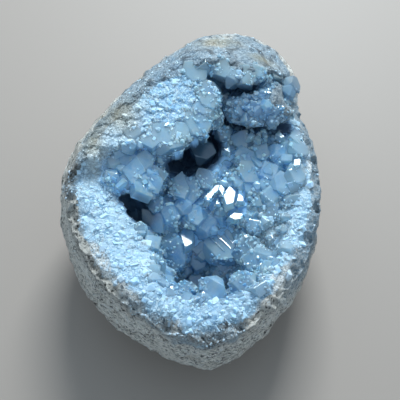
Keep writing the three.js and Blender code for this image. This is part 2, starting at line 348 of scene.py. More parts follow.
def crust_and_rim(x, y):
    """The height of the dish, and how far a point of it lies inside the nodule's outer skin. The dish lies at
    46 mm, falls to the right, and rises outward with the square of the distance. At a height the outline has
    shrunk by (1 - h^F)^(1/F), with h that height over the widest level, as a share of the rise."""
    crust = 46 - 0.08 * x + 8 * ((x / 52) ** 2 + (y / 72) ** 2)
    reach = (1 - np.clip((crust - WIDEST_LEVEL) / RISE, 0.0, 0.9) ** FULLNESS) ** (1 / FULLNESS)
    return crust, depth_inside(x / reach, y / reach, [tuple(corner) for corner in OUTLINE]) * reach


def broken_height(x, y, jagged=0.0):
    """The height of the broken top: a dish for the crust, worn down at its rim and blended into the floor of
    the bowl with its pocket, then into each standing part. The wear is 3.8 mm, give or take soft noise, and
    fades with the square of the distance to nothing 9 mm inside. The floor is a plane with the pocket taken
    off it. `jagged` is how far a point's place is drawn to the middle of its grain."""
    crust, rim = crust_and_rim(x, y)
    ground = np.stack([x, y, np.zeros_like(x)], -1)
    broad, fine = lumps(ground, width=12.0, seed=35.0), rough_lumps(ground, width=3.6, octaves=2, seed=36.0)
    worn = 3.8 + 2.2 * broad + 2.2 * fine
    crust = crust - worn * (1 - np.clip(rim / 9, 0, 1)) ** 2
    floor = 43 + 0.19 * y + 0.07 * x - POCKET_DEPTH * spots(x, y, [POCKET])
    if jagged:
        owner, _ = grains(np.stack([x, y], -1), width=3.8, seed=21.0)
        x, y = x + jagged * (owner[..., 0] - x), y + jagged * (owner[..., 1] - y)
    height = crust + (floor - crust) * eased(depth_inside(x, y, BOWL), start=0, over=9)
    for level, slope_x, slope_y, edge, corners in STANDING:
        standing = level + slope_x * x + slope_y * y
        height = height + (standing - height) * smoothstep(depth_inside(x, y, corners) / edge + 0.5)
    return height


def broken_detail(x, y):
    """Relief of broken celestite: flat facets 6.5, 2.6 and 1 mm wide, the wider ones steeper in the bowl than
    on the crust, and soft lumps, all 1 mm lower than the plain map."""
    flat = np.stack([x, y], -1)
    solid = np.stack([x, y, np.zeros_like(x)], -1)
    roof = eased(depth_inside(x, y, LEFT_ROOF), start=0, over=3)
    frosty = np.clip(spots(x, y, FROSTY), 0, 1)
    bowl = eased(depth_inside(x, y, BOWL), start=0, over=8) * (1 - roof) * (1 - 0.8 * frosty)
    large = broken_facets(flat, width=6.5, steep=1.0, seed=31.0) * (0.14 + 0.30 * bowl - 0.06 * roof)
    middling = broken_facets(flat, width=2.6, steep=1.0, seed=32.0) * (0.15 + 0.19 * bowl - 0.03 * roof)
    fine = broken_facets(flat, width=1.0, steep=1.0, seed=34.0) * 0.09
    return large + middling + fine + (0.8 - 0.5 * roof) * lumps(solid, width=11.0, seed=33.0) - 1.0


print("parts that stand above the crust:", len(STANDING))

# %% [markdown]
# A height landscape becomes a cutting tool when it is closed: the grid is the block's underside, walls go
# up from its edge, and a lid closes it far above the stone. Taking this block off a nodule leaves the
# broken top.
# %% Everything above the broken top, as a block to cut away
CUT_HALF = (63.0, 92.0)
CUT_CELL = 0.5
LID = 120.0
JAGGED = 0.45


def over_top():
    """A grid at the height of the broken top, walls up from its edge, and a fan of triangles for a lid."""
    across = np.arange(-CUT_HALF[0], CUT_HALF[0] + CUT_CELL, CUT_CELL)
    along = np.arange(-CUT_HALF[1], CUT_HALF[1] + CUT_CELL, CUT_CELL)
    x, y = np.meshgrid(across, along)
    z = broken_height(x, y, JAGGED) + broken_detail(x, y)
    grid = np.stack([x, y, z], -1).reshape(-1, 3)
    index = np.arange(len(grid)).reshape(x.shape)
    quads = np.stack([index[:-1, :-1], index[1:, :-1], index[1:, 1:], index[:-1, 1:]], -1).reshape(-1)
    edge = np.concatenate([index[0, :-1], index[:-1, -1], index[-1, :0:-1], index[:0:-1, 0]])
    lid = grid[edge] * [1, 1, 0] + [0, 0, LID]
    above = len(grid) + np.arange(len(edge))
    walls = np.stack([edge, np.roll(edge, -1), np.roll(above, -1), above], -1).reshape(-1)
    fan = np.stack([above, np.roll(above, -1), np.full(len(edge), len(grid) + len(edge))], -1).reshape(-1)
    points = np.concatenate([grid, lid, [[0, 0, LID]]])
    counts = np.concatenate([np.full(len(quads) // 4 + len(edge), 4), np.full(len(edge), 3)])
    return to_object("over_top", points, np.concatenate([quads, walls, fan]), counts, BROKEN)


above = over_top()
print("block above the broken top:", len(above.data.polygons), "faces")

# %% [markdown]
# Four hollows lie under the roofs and the low block, between them and in the cleft on the right, and one
# rounded mass of fine crystals hangs from the back roof. Each is a ball with its own three half sizes,
# roughened by flat facets like the rest of the celestite. Each is written as its middle and its half
# sizes.
# %% The hollows and the hanging mass
HOLLOWS = [((-1, 18.5, 46), (13.5, 13.5, 10.5)), ((17, 37, 63), (11, 6, 5.5)),
           ((30, 30.5, 50.6), (22, 10.5, 2.9)), ((-23, -9.5, 41), (8.5, 10, 9.5))]
MASS = ((28, 32, 57.2), (16, 10.5, 6.6))
BALL_LEVELS, BALL_STEPS = 40, 72


def ball(name, middle, half, skin, seed):
    """A ball of latitudes and longitudes, stretched to its half sizes and moved along its own directions."""
    latitude = np.pi * (np.arange(1, BALL_LEVELS) / BALL_LEVELS - 0.5)[:, None]
    longitude = 2 * np.pi * (np.arange(BALL_STEPS) / BALL_STEPS)[None, :]
    round_rows = np.stack([np.cos(latitude) * np.cos(longitude), np.cos(latitude) * np.sin(longitude),
                           np.sin(latitude) + 0 * longitude], -1)
    rough = broken_facets(round_rows * half, width=4.0, steep=0.30, seed=seed)
    rows = np.array(middle) + round_rows * (np.array(half) + rough[..., None])
    ends = np.array(middle) + [0, 0, half[2]], np.array(middle) - [0, 0, half[2]]
    return closed_shell(name, rows, *ends, skin)


def ball_distance(points, middle, half):
    """How far points are from a ball's middle, where 1 is on its skin: each coordinate counts as a share of
    the half size along it."""
    return np.linalg.norm((points - middle) / half, axis=-1)


hollows = [ball(f"hollow_{number}", *sizes, HOLLOW, 41.0 + number) for number, sizes in enumerate(HOLLOWS)]
mass = ball("hanging_mass", *MASS, BROKEN, 46.0)
print("hollows:", len(hollows), "and one hanging mass of", len(mass.data.polygons), "faces")

# %% [markdown]
# Booleans carve the two stones from these skins. The hanging mass is first taken off the block above the
# broken top, so that it is left standing. The rind is the outer skin with that block, the inner skin and
# the hollows taken off. The lining is the inner skin with the same block and hollows taken off. The
# manifold solver is used because it is quick on closed meshes of this size.
# %% Carve
def applied(thing):
    """The mesh that an object's modifiers make of it. It becomes the object's own, and they are taken off."""
    mesh = bpy.data.meshes.new_from_object(thing.evaluated_get(bpy.context.evaluated_depsgraph_get()))
    thing.modifiers.clear()
    thing.data = mesh
    return mesh


def carved(name, body, cutters):
    """A new object: the body's mesh after one boolean difference for each cutter."""
    piece = in_scene(name, body.data.copy())
    for cutter in cutters:
        cut = piece.modifiers.new("cut", "BOOLEAN")
        cut.operation, cut.solver, cut.object = "DIFFERENCE", "MANIFOLD", cutter
    applied(piece).name = name
    print(f"{name}: {len(piece.data.polygons)} faces")
    return piece


around = carved("around_the_mass", above, [mass])
rind = carved("rind_stone", outer, [around, inner] + hollows)
lining = carved("massive_celestite", inner, [around] + hollows)

for tool in [outer, inner, above, around, mass] + hollows:
    bpy.data.objects.remove(tool)

# %% [markdown]
# Colour follows the place: the crust is pale, the bowl is blue, a few patches are stained ochre, and bare
# stone shows along the worn rim. The hollows, the pocket, the hanging mass and the front of the bowl get
# painted shade, darkest in the hollows. Each is a share from 0 to 1, worked out once for any set of points
# and stored on the mesh, where the materials read it.
# %% Where the colours are
# How strong the painted shade in each of the four hollows is, and where more painted shade falls on the front
# of the pocket.
SHADED = (1.0, 0.5, 1.0, 0.8)  # how dark each of the four hollows is
POCKET_FRONT = ((8, -38), (12, 8))


def hollow_painted_shade(points):
    """The painted shade of each hollow: how dark it is inside it and a little way around it, falling to 0
    further out.
    """
    return np.max([dark * eased(ball_distance(points, *hollow), start=1.22, over=-0.22)
                   for dark, hollow in zip(SHADED, HOLLOWS)], axis=0)


def colour_shares(points):
    """The shares of crust, painted shade, stained and stony for points in drawing millimetres. Crust lies
    outside the bowl, on the roofs and on the frosted parts. Painted shade darkens the hollows, the pocket low
    down, the hanging mass and the front. Stony is a ragged band inside the rim, wider where it is weathered,
    and not far below the dish."""
    x, y, z = points.T
    left = depth_inside(x, y, LEFT_ROOF)
    roof = np.maximum(left, depth_inside(x, y, BACK_ROOF) - 1.5)
    bowl = eased(depth_inside(x, y, BOWL), start=-1.0, over=8)
    standing = eased(roof, start=-0.5, over=3)
    crust = np.clip(np.maximum(1 - bowl, standing) + 0.8 * spots(x, y, FROSTY), 0, 1)
    block = eased(depth_inside(x, y, LEFT_BLOCK), start=-1, over=2)
    crust = crust * (1 - block * (z > 44) * (left < 0))
    # Less crust inside the roof on the left leaves it bluer and darker there: painted shade that tones down
    # the window light falling full on it.
    crust = crust * (1 - 0.45 * eased(left, start=0, over=5))
    hangs = eased(ball_distance(points, *MASS), start=1.3, over=-0.15)
    crust = crust * (1 - hangs)
    # Painted shade, added to that of the hollows: low in the pocket below 38 mm and on its front, on the
    # hanging mass, and towards the front.
    pocket = 0.30 * eased(z, start=38, over=-20) + 0.10 * spots(x, y, [POCKET_FRONT]) * (z < 48)
    front = eased(y, start=-38, over=-10)
    painted_shade = np.clip(hollow_painted_shade(points) + pocket + 0.42 * hangs + 0.2 * front, 0, 1)
    dish, rim = crust_and_rim(x, y)
    reach = 4.5 + 3.0 * rough_lumps(points, width=7.0, octaves=3, seed=37.0) + 4.0 * spots(x, y, WEATHERED)
    stony = 0.85 * eased(reach - rim, start=0, over=3.5) * (depth_inside(x, y, BACK_ROOF) < 0)
    stony = stony * eased(z - dish, start=-10, over=5)
    return {"crust": crust * (1 - painted_shade), "painted_shade": painted_shade, "stained": np.clip(spots(x, y, STAINED), 0, 1),
            "stony": stony}


def corner_points(mesh):
    """A mesh's points, back in drawing millimetres."""
    flat = np.empty(len(mesh.vertices) * 3, np.float32)
    mesh.vertices.foreach_get("co", flat)
    return flat.reshape(-1, 3) / MM + MIDDLE


def store(mesh, shares):
    """Each share becomes a point attribute of its own name."""
    for name, values in shares.items():
        attribute = mesh.attributes.new(name, "FLOAT", "POINT")
        attribute.data.foreach_set("value", values.astype(np.float32))


for piece in (rind, lining):
    store(piece.data, colour_shares(corner_points(piece.data)))
    print(piece.name, "has its shares at", len(piece.data.vertices), "points")

# %% [markdown]
# The rind needs two shares of its own. Celestite dust whitens it below the break, and at the right the
# rind is so thin that the blue of the celestite comes through.
# %% Dust and blue on the rind
def rind_shares(points):
    """The shares of the rind that dust whitens and that the celestite under it turns blue. Dust hangs down
    from the broken rim in tongues, whose length is soft noise, and lies more thinly on the nodule's top."""
    x, y, z = points.T
    below = broken_height(x, y) - z
    reach = 4.0 + 10.0 * rough_lumps(points, width=12.0, octaves=2, seed=15.0) - 8.0 * spots(x, y, WEATHERED)
    tongues = eased(reach - below, start=0, over=5)
    top = smoothstep((z - 54 + 9 * rough_lumps(points, width=12.0, octaves=3, seed=16.0)) / 9)
    right = eased(x, start=30, over=14) * eased(below, start=14, over=-10)
    frosted = np.maximum(tongues * (1 - 0.6 * right), 0.85 * top)
    return {"frosted": frosted, "blued": np.maximum(0.3 * top, 0.8 * right)}


own_shares = rind_shares(corner_points(rind.data))
store(rind.data, own_shares)
print("share of the rind's points with dust:", round(float((own_shares["frosted"] > 0.5).mean()), 2))

# %% [markdown]
# Celestite crystals are blocky. Every face belongs to a form, and a form's faces always meet the others
# at the same angles, which come from the mineral's axes, a : b : c = 0.779 : 1 : 1.280. The prism's faces
# are turned by atan(a / b), the side dome's by atan(c / b) and the end dome's by atan(c / 2a). A habit is
# the distance of each form from the middle: a near form cuts large faces, a far one small faces. A
# crystal is the space that lies behind all of its faces, so it can be built by finding the points where
# three faces meet.
# %% Crystal forms
def turned(angle, axis):
    """A unit direction: (cos a, sin a, 0) for axis z, (0, sin a, cos a) for x, (sin a, 0, cos a) for y."""
    cos, sin = math.cos(math.radians(angle)), math.sin(math.radians(angle))
    return {"z": (cos, sin, 0.0), "x": (0.0, sin, cos), "y": (sin, 0.0, cos)}[axis]


PRISM_ANGLE, SIDE_ANGLE, END_ANGLE = 38, 52, 39.4
FORMS = {
    "basal": [(0.0, 0.0, 1.0)],
    "prism": [turned(PRISM_ANGLE, "z"), turned(-PRISM_ANGLE, "z")],
    "side_dome": [turned(SIDE_ANGLE, "x"), turned(-SIDE_ANGLE, "x")],
    "end_dome": [turned(END_ANGLE, "y"), turned(-END_ANGLE, "y")],
}
TABLET = {"basal": 0.62, "prism": 0.86, "side_dome": 0.86}
BLOCK = {"basal": 0.70, "prism": 0.78, "side_dome": 0.82, "end_dome": 0.88}
RIDGE = {"basal": 0.80, "prism": 0.80, "end_dome": 0.86}
LOZENGE = {"basal": 0.60, "prism": 0.85}
SPEAR = {"basal": 0.95, "prism": 0.78, "side_dome": 0.86, "end_dome": 1.00}
SHORTEST_EDGE = 1 / 16


def crystal_faces(habit, uneven=0.0, seed=0.0):
    """The faces of a crystal of size 1: unit normals (f, 3) and their distances from the middle. `uneven`
    moves each face in or out by that share, as on real crystals."""
    normals, distances = [], []
    for form, distance in habit.items():
        for normal in FORMS[form]:
            for side in (1, -1):
                normals.append(np.array(normal) * side)
                distances.append(distance * (1 + uneven * (2 * scatter(len(normals), seed) - 1)))
    return np.array(normals), np.array(distances)


def crystal_shape(normals, distances):
    """Corners and polygons. Every three faces meet in a point, and it is a corner if no other face cuts it
    off. A face's corners are put in order by their angle around its normal."""
    triples = np.array(list(itertools.combinations(range(len(normals)), 3)))
    sets = normals[triples]
    meets = np.abs(np.linalg.det(sets)) > 1e-6
    points = np.linalg.solve(sets[meets], distances[triples][meets][..., None])[..., 0]
    points = points[(points @ normals.T <= distances + 1e-6).all(1)]
    points = np.unique(np.round(points, 6), axis=0)
    polygons = []
    for normal, distance in zip(normals, distances):
        on = np.flatnonzero(np.abs(points @ normal - distance) < 1e-4)
        if len(on) < 3:
            continue
        spokes = points[on] - points[on].mean(0)
        across = spokes[0]
        angle = np.arctan2(spokes @ np.cross(normal, across), spokes @ across)
        polygons.append(on[np.argsort(angle)])
    return points, polygons


def clean_crystal(habit, uneven, seed):
    """A crystal of size 1 with no edge shorter than SHORTEST_EDGE. Uneven faces sometimes meet in a sliver,
    and then another seed is tried."""
    while True:
        points, polygons = crystal_shape(*crystal_faces(habit, uneven, seed))
        edges = [points[polygon] - points[np.roll(polygon, 1)] for polygon in polygons]
        if np.linalg.norm(np.concatenate(edges), axis=1).min() > SHORTEST_EDGE:
            return points, polygons
        seed += 100


def crystal_turns(directions, turns):
    """Rotations (n, 3, 3) that aim +Z along each direction and turn the crystal about it by each angle."""
    aim = directions / np.linalg.norm(directions, axis=-1, keepdims=True)
    helper = np.where(np.abs(aim[:, 2:]) < 0.9, [[0.0, 0.0, 1.0]], [[1.0, 0.0, 0.0]])
    side = np.cross(helper, aim)
    side = side / np.linalg.norm(side, axis=-1, keepdims=True)
    other = np.cross(aim, side)
    cos, sin = np.cos(turns)[:, None], np.sin(turns)[:, None]
    return np.stack([cos * side + sin * other, cos * other - sin * side, aim], -1)


def crystal_field(name, templates, kinds, at, sizes, rotations, shares):
    """Many crystals as one mesh: each kind's corners are turned, scaled and moved for all its crystals at
    once, and its polygons are repeated with the corner numbers shifted."""
    all_points, all_corners, all_counts, owners, start = [], [], [], [], 0
    for kind, (points, polygons) in enumerate(templates):
        chosen = np.flatnonzero(kinds == kind)
        placed = np.einsum("nij,nvj->nvi", rotations[chosen], points[None] * sizes[chosen][:, None, :])
        placed = placed + at[chosen][:, None, :]
        flat = np.concatenate(polygons)
        shift = start + np.arange(len(chosen)) * len(points)
        all_points.append(placed.reshape(-1, 3))
        all_corners.append((flat[None] + shift[:, None]).ravel())
        all_counts.append(np.tile([len(polygon) for polygon in polygons], len(chosen)))
        owners.append(np.repeat(chosen, len(points)))
        start += len(chosen) * len(points)
    field = to_object(name, np.concatenate(all_points), np.concatenate(all_corners),
                      np.concatenate(all_counts))
    owner = np.concatenate(owners)
    store(field.data, {share: values[owner] for share, values in shares.items()})
    print(f"{name}: {len(at)} crystals, {len(field.data.polygons)} faces")
    return field


print("faces of a block:", len(crystal_shape(*crystal_faces(BLOCK))[1]))

# %% [markdown]
# The large crystals have places of their own, one by one: where each stands, its size, the way it points,
# its turn in degrees and its habit. The place is the middle of its end face. They overlap as grown
# crystals do, so they are joined into one closed skin, which clear material needs: light must enter it
# once and leave it once.
# %% The large crystals
LARGE = [
    # the pocket and the front of the bowl
    ((-9.2, -25.6, 33), 10.5, (-0.05, -0.62, 0.78), 22, BLOCK),
    ((-7.4, -16.8, 34.5), 6.0, (-0.05, 0.02, 1), 70, BLOCK),
    ((12.6, -20.9, 34.4), 8.0, (-0.19, -0.08, 0.98), 37, TABLET),
    ((1.9, -31.9, 21), 6.0, (0.00, -0.25, 0.97), 5, BLOCK),
    ((8.8, -44.0, 40), 6.0, (0.00, -0.20, 0.98), 60, TABLET),
    ((19.6, -42.5, 44), 6.5, (0.05, -0.10, 0.99), 15, BLOCK),
    ((13.9, -29.1, 26), 6.5, (-0.05, -0.45, 0.89), 50, TABLET),
    ((27.8, -32.8, 41), 7.5, (0.10, -0.35, 0.93), 75, BLOCK),
    ((30.3, -39.0, 45), 5.0, (0.20, -0.10, 0.97), 30, TABLET),
    ((23.5, -25.9, 38), 6.5, (0.15, -0.40, 0.90), 20, TABLET),
    ((20.9, -19.6, 38), 4.5, (0.10, -0.20, 0.97), 65, RIDGE),
    ((-1.0, -42.0, 35), 5.5, (0.10, 0.10, 0.99), 20, BLOCK),
    ((3.5, -23.5, 27), 5.5, (0.10, -0.50, 0.86), 70, TABLET),
    # the middle, with the faces that catch the window
    ((-13.9, -8.9, 45.5), 4.0, (0.05, 0.30, 0.95), 5, TABLET),
    ((5.9, -13.8, 39), 7.0, (-0.10, -0.35, 0.93), 50, BLOCK),
    ((-0.1, -2.5, 45), 5.5, (-0.05, -0.30, 0.95), 15, TABLET),
    ((-4.9, -1.2, 46), 4.5, (-0.20, -0.35, 0.91), 75, LOZENGE),
    ((5.9, 2.6, 46), 4.5, (0.10, -0.25, 0.96), 30, TABLET),
    ((2.3, -11.9, 42), 4.5, (-0.10, -0.20, 0.97), 10, TABLET),
    ((-2.9, -8.9, 44), 5.0, (-0.10, -0.30, 0.95), 45, BLOCK),
    ((-8.8, -12.5, 43), 6.0, (-0.15, -0.40, 0.90), 25, BLOCK),
    ((-15.0, -13.7, 40), 5.0, (-0.25, -0.45, 0.86), 65, LOZENGE),
    # the right of the bowl, up to the cleft
    ((42.8, 2.0, 50.5), 5.2, (0.15, -0.25, 0.95), 25, BLOCK),
    ((22.1, 11.8, 49), 5.5, (0.00, -0.20, 0.98), 60, BLOCK),
    ((29.0, 13.6, 50), 5.0, (0.05, -0.15, 0.99), 15, TABLET),
    ((36.2, 12.9, 51), 5.5, (0.10, -0.15, 0.98), 85, BLOCK),
    ((24.0, 4.5, 47.5), 5.5, (0.00, -0.25, 0.97), 35, TABLET),
    ((31.2, 4.8, 48.5), 6.0, (0.05, -0.20, 0.98), 70, BLOCK),
    ((37.0, -1.0, 48), 5.0, (0.15, -0.20, 0.97), 10, TABLET),
    ((25.9, -2.5, 45), 4.5, (0.05, -0.20, 0.98), 55, TABLET),
    ((32.5, -5.5, 46), 5.5, (0.10, -0.25, 0.96), 40, BLOCK),
    ((19.2, 2.6, 46), 4.2, (0.05, -0.15, 0.99), 20, BLOCK),
    ((44.0, 14.5, 51.5), 4.5, (0.20, -0.15, 0.97), 50, TABLET),
    ((25.6, -16.6, 41.5), 4.5, (0.05, -0.30, 0.95), 80, BLOCK),
    # inside the dark hollow
    ((5.2, 16.8, 46.0), 5.4, (0.10, -0.25, 0.96), 75, TABLET),
    ((13.0, 20.5, 52), 4.6, (-0.15, -0.60, 0.78), 35, BLOCK),
    # the low block on the left
    ((-30.2, 4.6, 56), 4.6, (-0.15, -0.25, 0.96), 20, BLOCK),
    ((-24.3, 4.4, 56.5), 4.6, (0.00, -0.30, 0.95), 60, TABLET),
    ((-17.7, 4.4, 56.5), 4.8, (0.05, -0.25, 0.97), 40, BLOCK),
    ((-31.4, -2.4, 55), 4.4, (-0.25, -0.30, 0.92), 75, BLOCK),
    ((-25.6, -3.4, 54.0), 4.4, (-0.15, -0.35, 0.92), 38, SPEAR),
    ((-19.4, -3.7, 54.5), 5.0, (0.05, -0.45, 0.89), 50, BLOCK),
    ((-14.5, -4.5, 53), 4.4, (0.15, -0.40, 0.90), 30, TABLET),
    ((-22.2, -0.2, 56), 4.4, (0.00, -0.20, 0.98), 85, LOZENGE),
    # the flat plates along the lip of the roof on the left
    ((-16.0, 13.6, 61.9), 7.0, (0.00, -0.16, 0.98), 10, TABLET),
    ((-9.0, 12.4, 61.6), 7.0, (0.05, -0.20, 0.98), 55, TABLET),
    ((-2.6, 14.4, 62.0), 6.4, (0.08, -0.22, 0.97), 80, BLOCK),
    ((3.0, 18.0, 62.8), 6.6, (0.10, -0.20, 0.97), 30, TABLET),
    ((5.8, 24.2, 64.3), 6.0, (0.14, -0.18, 0.97), 65, BLOCK),
    ((7.4, 30.0, 65.9), 6.4, (0.12, -0.20, 0.97), 20, TABLET),
    ((2.0, 39.5, 68.9), 5.6, (0.05, -0.26, 0.96), 45, TABLET),
    ((-22.5, 14.0, 62.6), 6.0, (0.00, -0.20, 0.98), 35, BLOCK),
    # the plates along the edge of the back roof
    ((12.6, 40.0, 70.7), 5.0, (0.05, -0.30, 0.95), 15, TABLET),
    ((17.6, 37.0, 69.8), 5.2, (0.05, -0.28, 0.96), 60, BLOCK),
    ((22.2, 37.4, 69.6), 5.0, (0.05, -0.30, 0.95), 30, TABLET),
    ((26.8, 38.4, 69.5), 4.8, (0.10, -0.28, 0.95), 75, BLOCK),
    # the side of the hanging mass
    ((42.0, 35.0, 60.5), 3.8, (0.70, -0.40, 0.60), 20, BLOCK),
    ((43.5, 39.0, 61.0), 3.6, (0.75, -0.20, 0.63), 60, TABLET),
    ((40.0, 30.0, 58.0), 3.6, (0.60, -0.65, 0.46), 45, BLOCK),
]
print("large crystals:", len(LARGE))

# %% [markdown]
# Some crystals end in one flat face that catches the window, and a face like that is seen as a bright
# polygon with an outline of its own. They are low blocks: the outline lies in the plane that mirrors the
# window to the eye, and the foot is a little larger. The last few are the narrow growth ledges on one
# striated crystal. Each is written as its middle and its outline around that. Two limits say how near to
# that mirror direction another face may come, as the cosine of the angle between them: the first for
# larger crystals, the second for the faces that small ones grow on.
# %% Faces that catch the window
GLINT = np.array([0.06, 0.11, 0.99]) / np.linalg.norm([0.06, 0.11, 0.99])
NEAR_GLINT, ON_GLINT = 0.972, 0.985
BRIGHT = [
    ((9.0, -4.5, 46.3),
     [(-1.3, -4.0), (0.2, -1.0), (2.3, 2.2), (3.0, 4.6), (1.2, 3.7), (-2.6, -1.5), (-2.8, -3.9)]),
    ((12.5, -2.8, 46.2), [(-1.2, 0.3), (0.3, -3.2), (1.3, 0.4), (-0.5, 2.6)]),
    ((15.7, -5.3, 45.2), [(-1.3, -4.6), (1.5, -3.2), (2.5, 2.1), (0.2, 5.1), (-2.8, 0.8)]),
    ((20.0, -6.6, 45.6), [(1.1, -1.5), (1.2, 0.5), (-0.7, 2.6), (-1.5, -1.6)]),
    ((10.8, -8.6, 45.4), [(1.0, -0.9), (-0.1, 1.5), (-0.9, -0.7)]),
    ((18.4, -12.9, 42.2), [(-0.8, -1.6), (2.4, -1.2), (2.6, 1.5), (-0.9, 1.8), (-3.3, -0.5)]),
    ((-1.7, -18.7, 35.5), [(-1.6, -1.3), (-0.3, -4.9), (2.7, -2.7), (2.9, 2.9), (-1.1, 4.6), (-2.5, 1.4)]),
    ((15.3, 13.7, 50.6), [(0.8, -2.0), (0.9, 2.4), (-1.6, -0.4)]),
    ((42.6, 6.2, 52.0), [(-1.6, -1.9), (1.1, -1.5), (1.6, 1.8), (-1.1, 1.6)]),
    ((24.6, 19.3, 53.2), [(1.3, -1.3), (0.6, 3.1), (-1.8, -1.8)]),
    ((27.4, 17.7, 53.2), [(-0.5, -1.5), (1.1, -1.4), (0.8, 2.7), (-1.5, 0.2)]),
    ((29.8, 19.9, 53.6), [(0.0, -2.8), (1.4, -2.0), (-0.2, 2.7), (-1.2, 2.1)]),
    ((36.3, 18.8, 53.4), [(0.1, -1.5), (1.9, -1.2), (-0.1, 2.4), (-1.8, 0.4)]),
    ((10.6, -21.0, 34.6), [(2.9, -3.8), (3.2, -3.5), (-2.9, 3.8), (-3.3, 3.5)]),
    ((13.0, -19.8, 34.9), [(2.8, -4.1), (3.4, -3.5), (-2.8, 4.0), (-3.6, 3.6)]),
    ((14.4, -17.9, 35.2), [(2.8, -3.8), (3.3, -3.4), (-2.8, 3.8), (-3.5, 3.5)]),
    ((18.7, -16.1, 37.0), [(0.6, -1.4), (1.1, -1.1), (-0.5, 1.3), (-1.2, 1.1)]),
    ((17.0, -14.5, 37.6), [(-0.8, -0.3), (0.9, -0.4), (1.1, 0.1), (-1.2, 0.7)]),
]


def bright_block(middle, outline):
    """A block whose top is the outline, in the plane that faces GLINT. With w its width, the foot lies
    0.9 w + 0.6 mm lower, but at most 3 mm, and is larger by a share of 0.12 w, but at most 0.35. Returns its
    corners and its polygons."""
    flat = np.array(outline)
    top = np.column_stack([flat, -flat @ GLINT[:2] / GLINT[2]])
    width = np.ptp(flat, axis=0).min()
    foot = top * (1 + min(0.12 * width, 0.35)) - GLINT * min(0.9 * width + 0.6, 3.0)
    count = len(flat)
    ring = np.arange(count)
    ahead = np.roll(ring, -1)
    sides = [np.array([a, a + count, b + count, b]) for a, b in zip(ring, ahead)]
    return np.concatenate([top, foot]) + middle, [ring, ring[::-1] + count] + sides


print("faces that catch the window:", len(BRIGHT))

# %% [markdown]
# Between the large crystals the bowl is paved with middling ones, and smaller ones still grow on those
# and on the crust. All of them start on a surface that is already there, so points are first spread
# evenly over it, then thinned until each keeps its distance, and each point that is left gets a crystal
# that leans a little from the surface's own direction.
# %% Where crystals grow
def spread(mesh, count, seed, skins=(BROKEN, HOLLOW, CRYSTAL)):
    """`count` points spread by area over those skins of a mesh, in drawing millimetres, with the direction of
    the face that each lies on. The i-th point takes the triangle at the share (i + random) / count of all
    the area, and two random numbers place it inside that."""
    mesh.calc_loop_triangles()
    number = len(mesh.loop_triangles)
    corners, owner = np.empty(number * 3, np.int32), np.empty(number, np.int32)
    area, normal = np.empty(number, np.float32), np.empty(number * 3, np.float32)
    skin = np.empty(len(mesh.polygons), np.float32)
    mesh.loop_triangles.foreach_get("vertices", corners)
    mesh.loop_triangles.foreach_get("polygon_index", owner)
    mesh.loop_triangles.foreach_get("area", area)
    mesh.loop_triangles.foreach_get("normal", normal)
    mesh.attributes["skin"].data.foreach_get("value", skin)
    up_to = np.cumsum(np.where(np.isin(np.round(skin[owner]), skins), area, 0.0), dtype=float)
    index = np.arange(count)
    pick = np.searchsorted(up_to, (index + scatter(index, seed)) / count * up_to[-1])
    one, two = scatter(index, seed + 1), scatter(index, seed + 2)
    one, two = np.where(one + two > 1, 1 - one, one), np.where(one + two > 1, 1 - two, two)
    at = corner_points(mesh)[corners.reshape(-1, 3)[pick]]
    at = at[:, 0] + one[:, None] * (at[:, 1] - at[:, 0]) + two[:, None] * (at[:, 2] - at[:, 0])
    return at, normal.reshape(-1, 3)[pick]


def thinned(points, reach):
    """Keeps points that are `reach` apart: they are taken in random order, and each one that is kept drops
    the later ones that are too near. A grid of cells keeps the search short."""
    order = np.argsort(scatter(points[:, 0] * 3.1, points[:, 1] * 2.7, points[:, 2]))
    kept_at = {}
    kept = []
    cell_size = reach.max()
    for number in order:
        cell = tuple((points[number] // cell_size).astype(int))
        near = [other for step in itertools.product((-1, 0, 1), repeat=3)
                for other in kept_at.get((cell[0] + step[0], cell[1] + step[1], cell[2] + step[2]), ())]
        if near:
            away = np.linalg.norm(points[near] - points[number], axis=1)
            if (away < reach[number]).any():
                continue
        kept_at.setdefault(cell, []).append(number)
        kept.append(number)
    return np.array(kept)


def seeded(mesh, count, sizes, pack, where, lean, seed, **skins):
    """Places for crystals on a mesh: points, directions, sizes and rotations. `where` gives the share that
    may grow at a point, from the point and its direction. Sizes lie between the two given, mostly near the
    lower. Neighbours keep `pack` sizes apart, and `lean` is how far a crystal may lean from the surface's
    direction."""
    at, normal = spread(mesh, count, seed, **skins)
    grows = scatter(at[:, 0], at[:, 1], seed) < where(at, normal)
    at, normal = at[grows], normal[grows]
    low, high = sizes
    size = low + (high - low) * scatter(at[:, 0], at[:, 2], seed + 1) ** 1.6
    kept = thinned(at, size * pack)
    at, normal, size = at[kept], normal[kept], size[kept]
    wobble = either_way(at[:, 0], at[:, 1], seed + 2)
    rotations = crystal_turns(normal + lean * wobble, 2 * np.pi * scatter(at[:, 1], at[:, 2], seed + 6))
    return at, normal, size, rotations


print("a crystal may start on skins", BROKEN, HOLLOW, "and", CRYSTAL)

# %% [markdown]
# Where may a middling crystal grow? A rule is a function that gives each point a share, and a random
# number decides against that share. One rule paves the bowl and leaves the bright faces free, the other
# covers the hanging mass with finer crystals.
# %% The middling crystals' places
def hollow_nearness(at):
    """How far each point is from the nearest hollow, where 1 is on its skin."""
    return np.min([ball_distance(at, *hollow) for hollow in HOLLOWS], axis=0)


def on_mass(at, normal):
    """1 on the hanging mass, but not behind it or in the cleft under it."""
    on_skin = np.abs(ball_distance(at, *MASS) - 1) < 0.2
    return 1.0 * on_skin * (at[:, 1] < 40) * (at[:, 2] > 52.5) * (hollow_nearness(at) > 1.03)


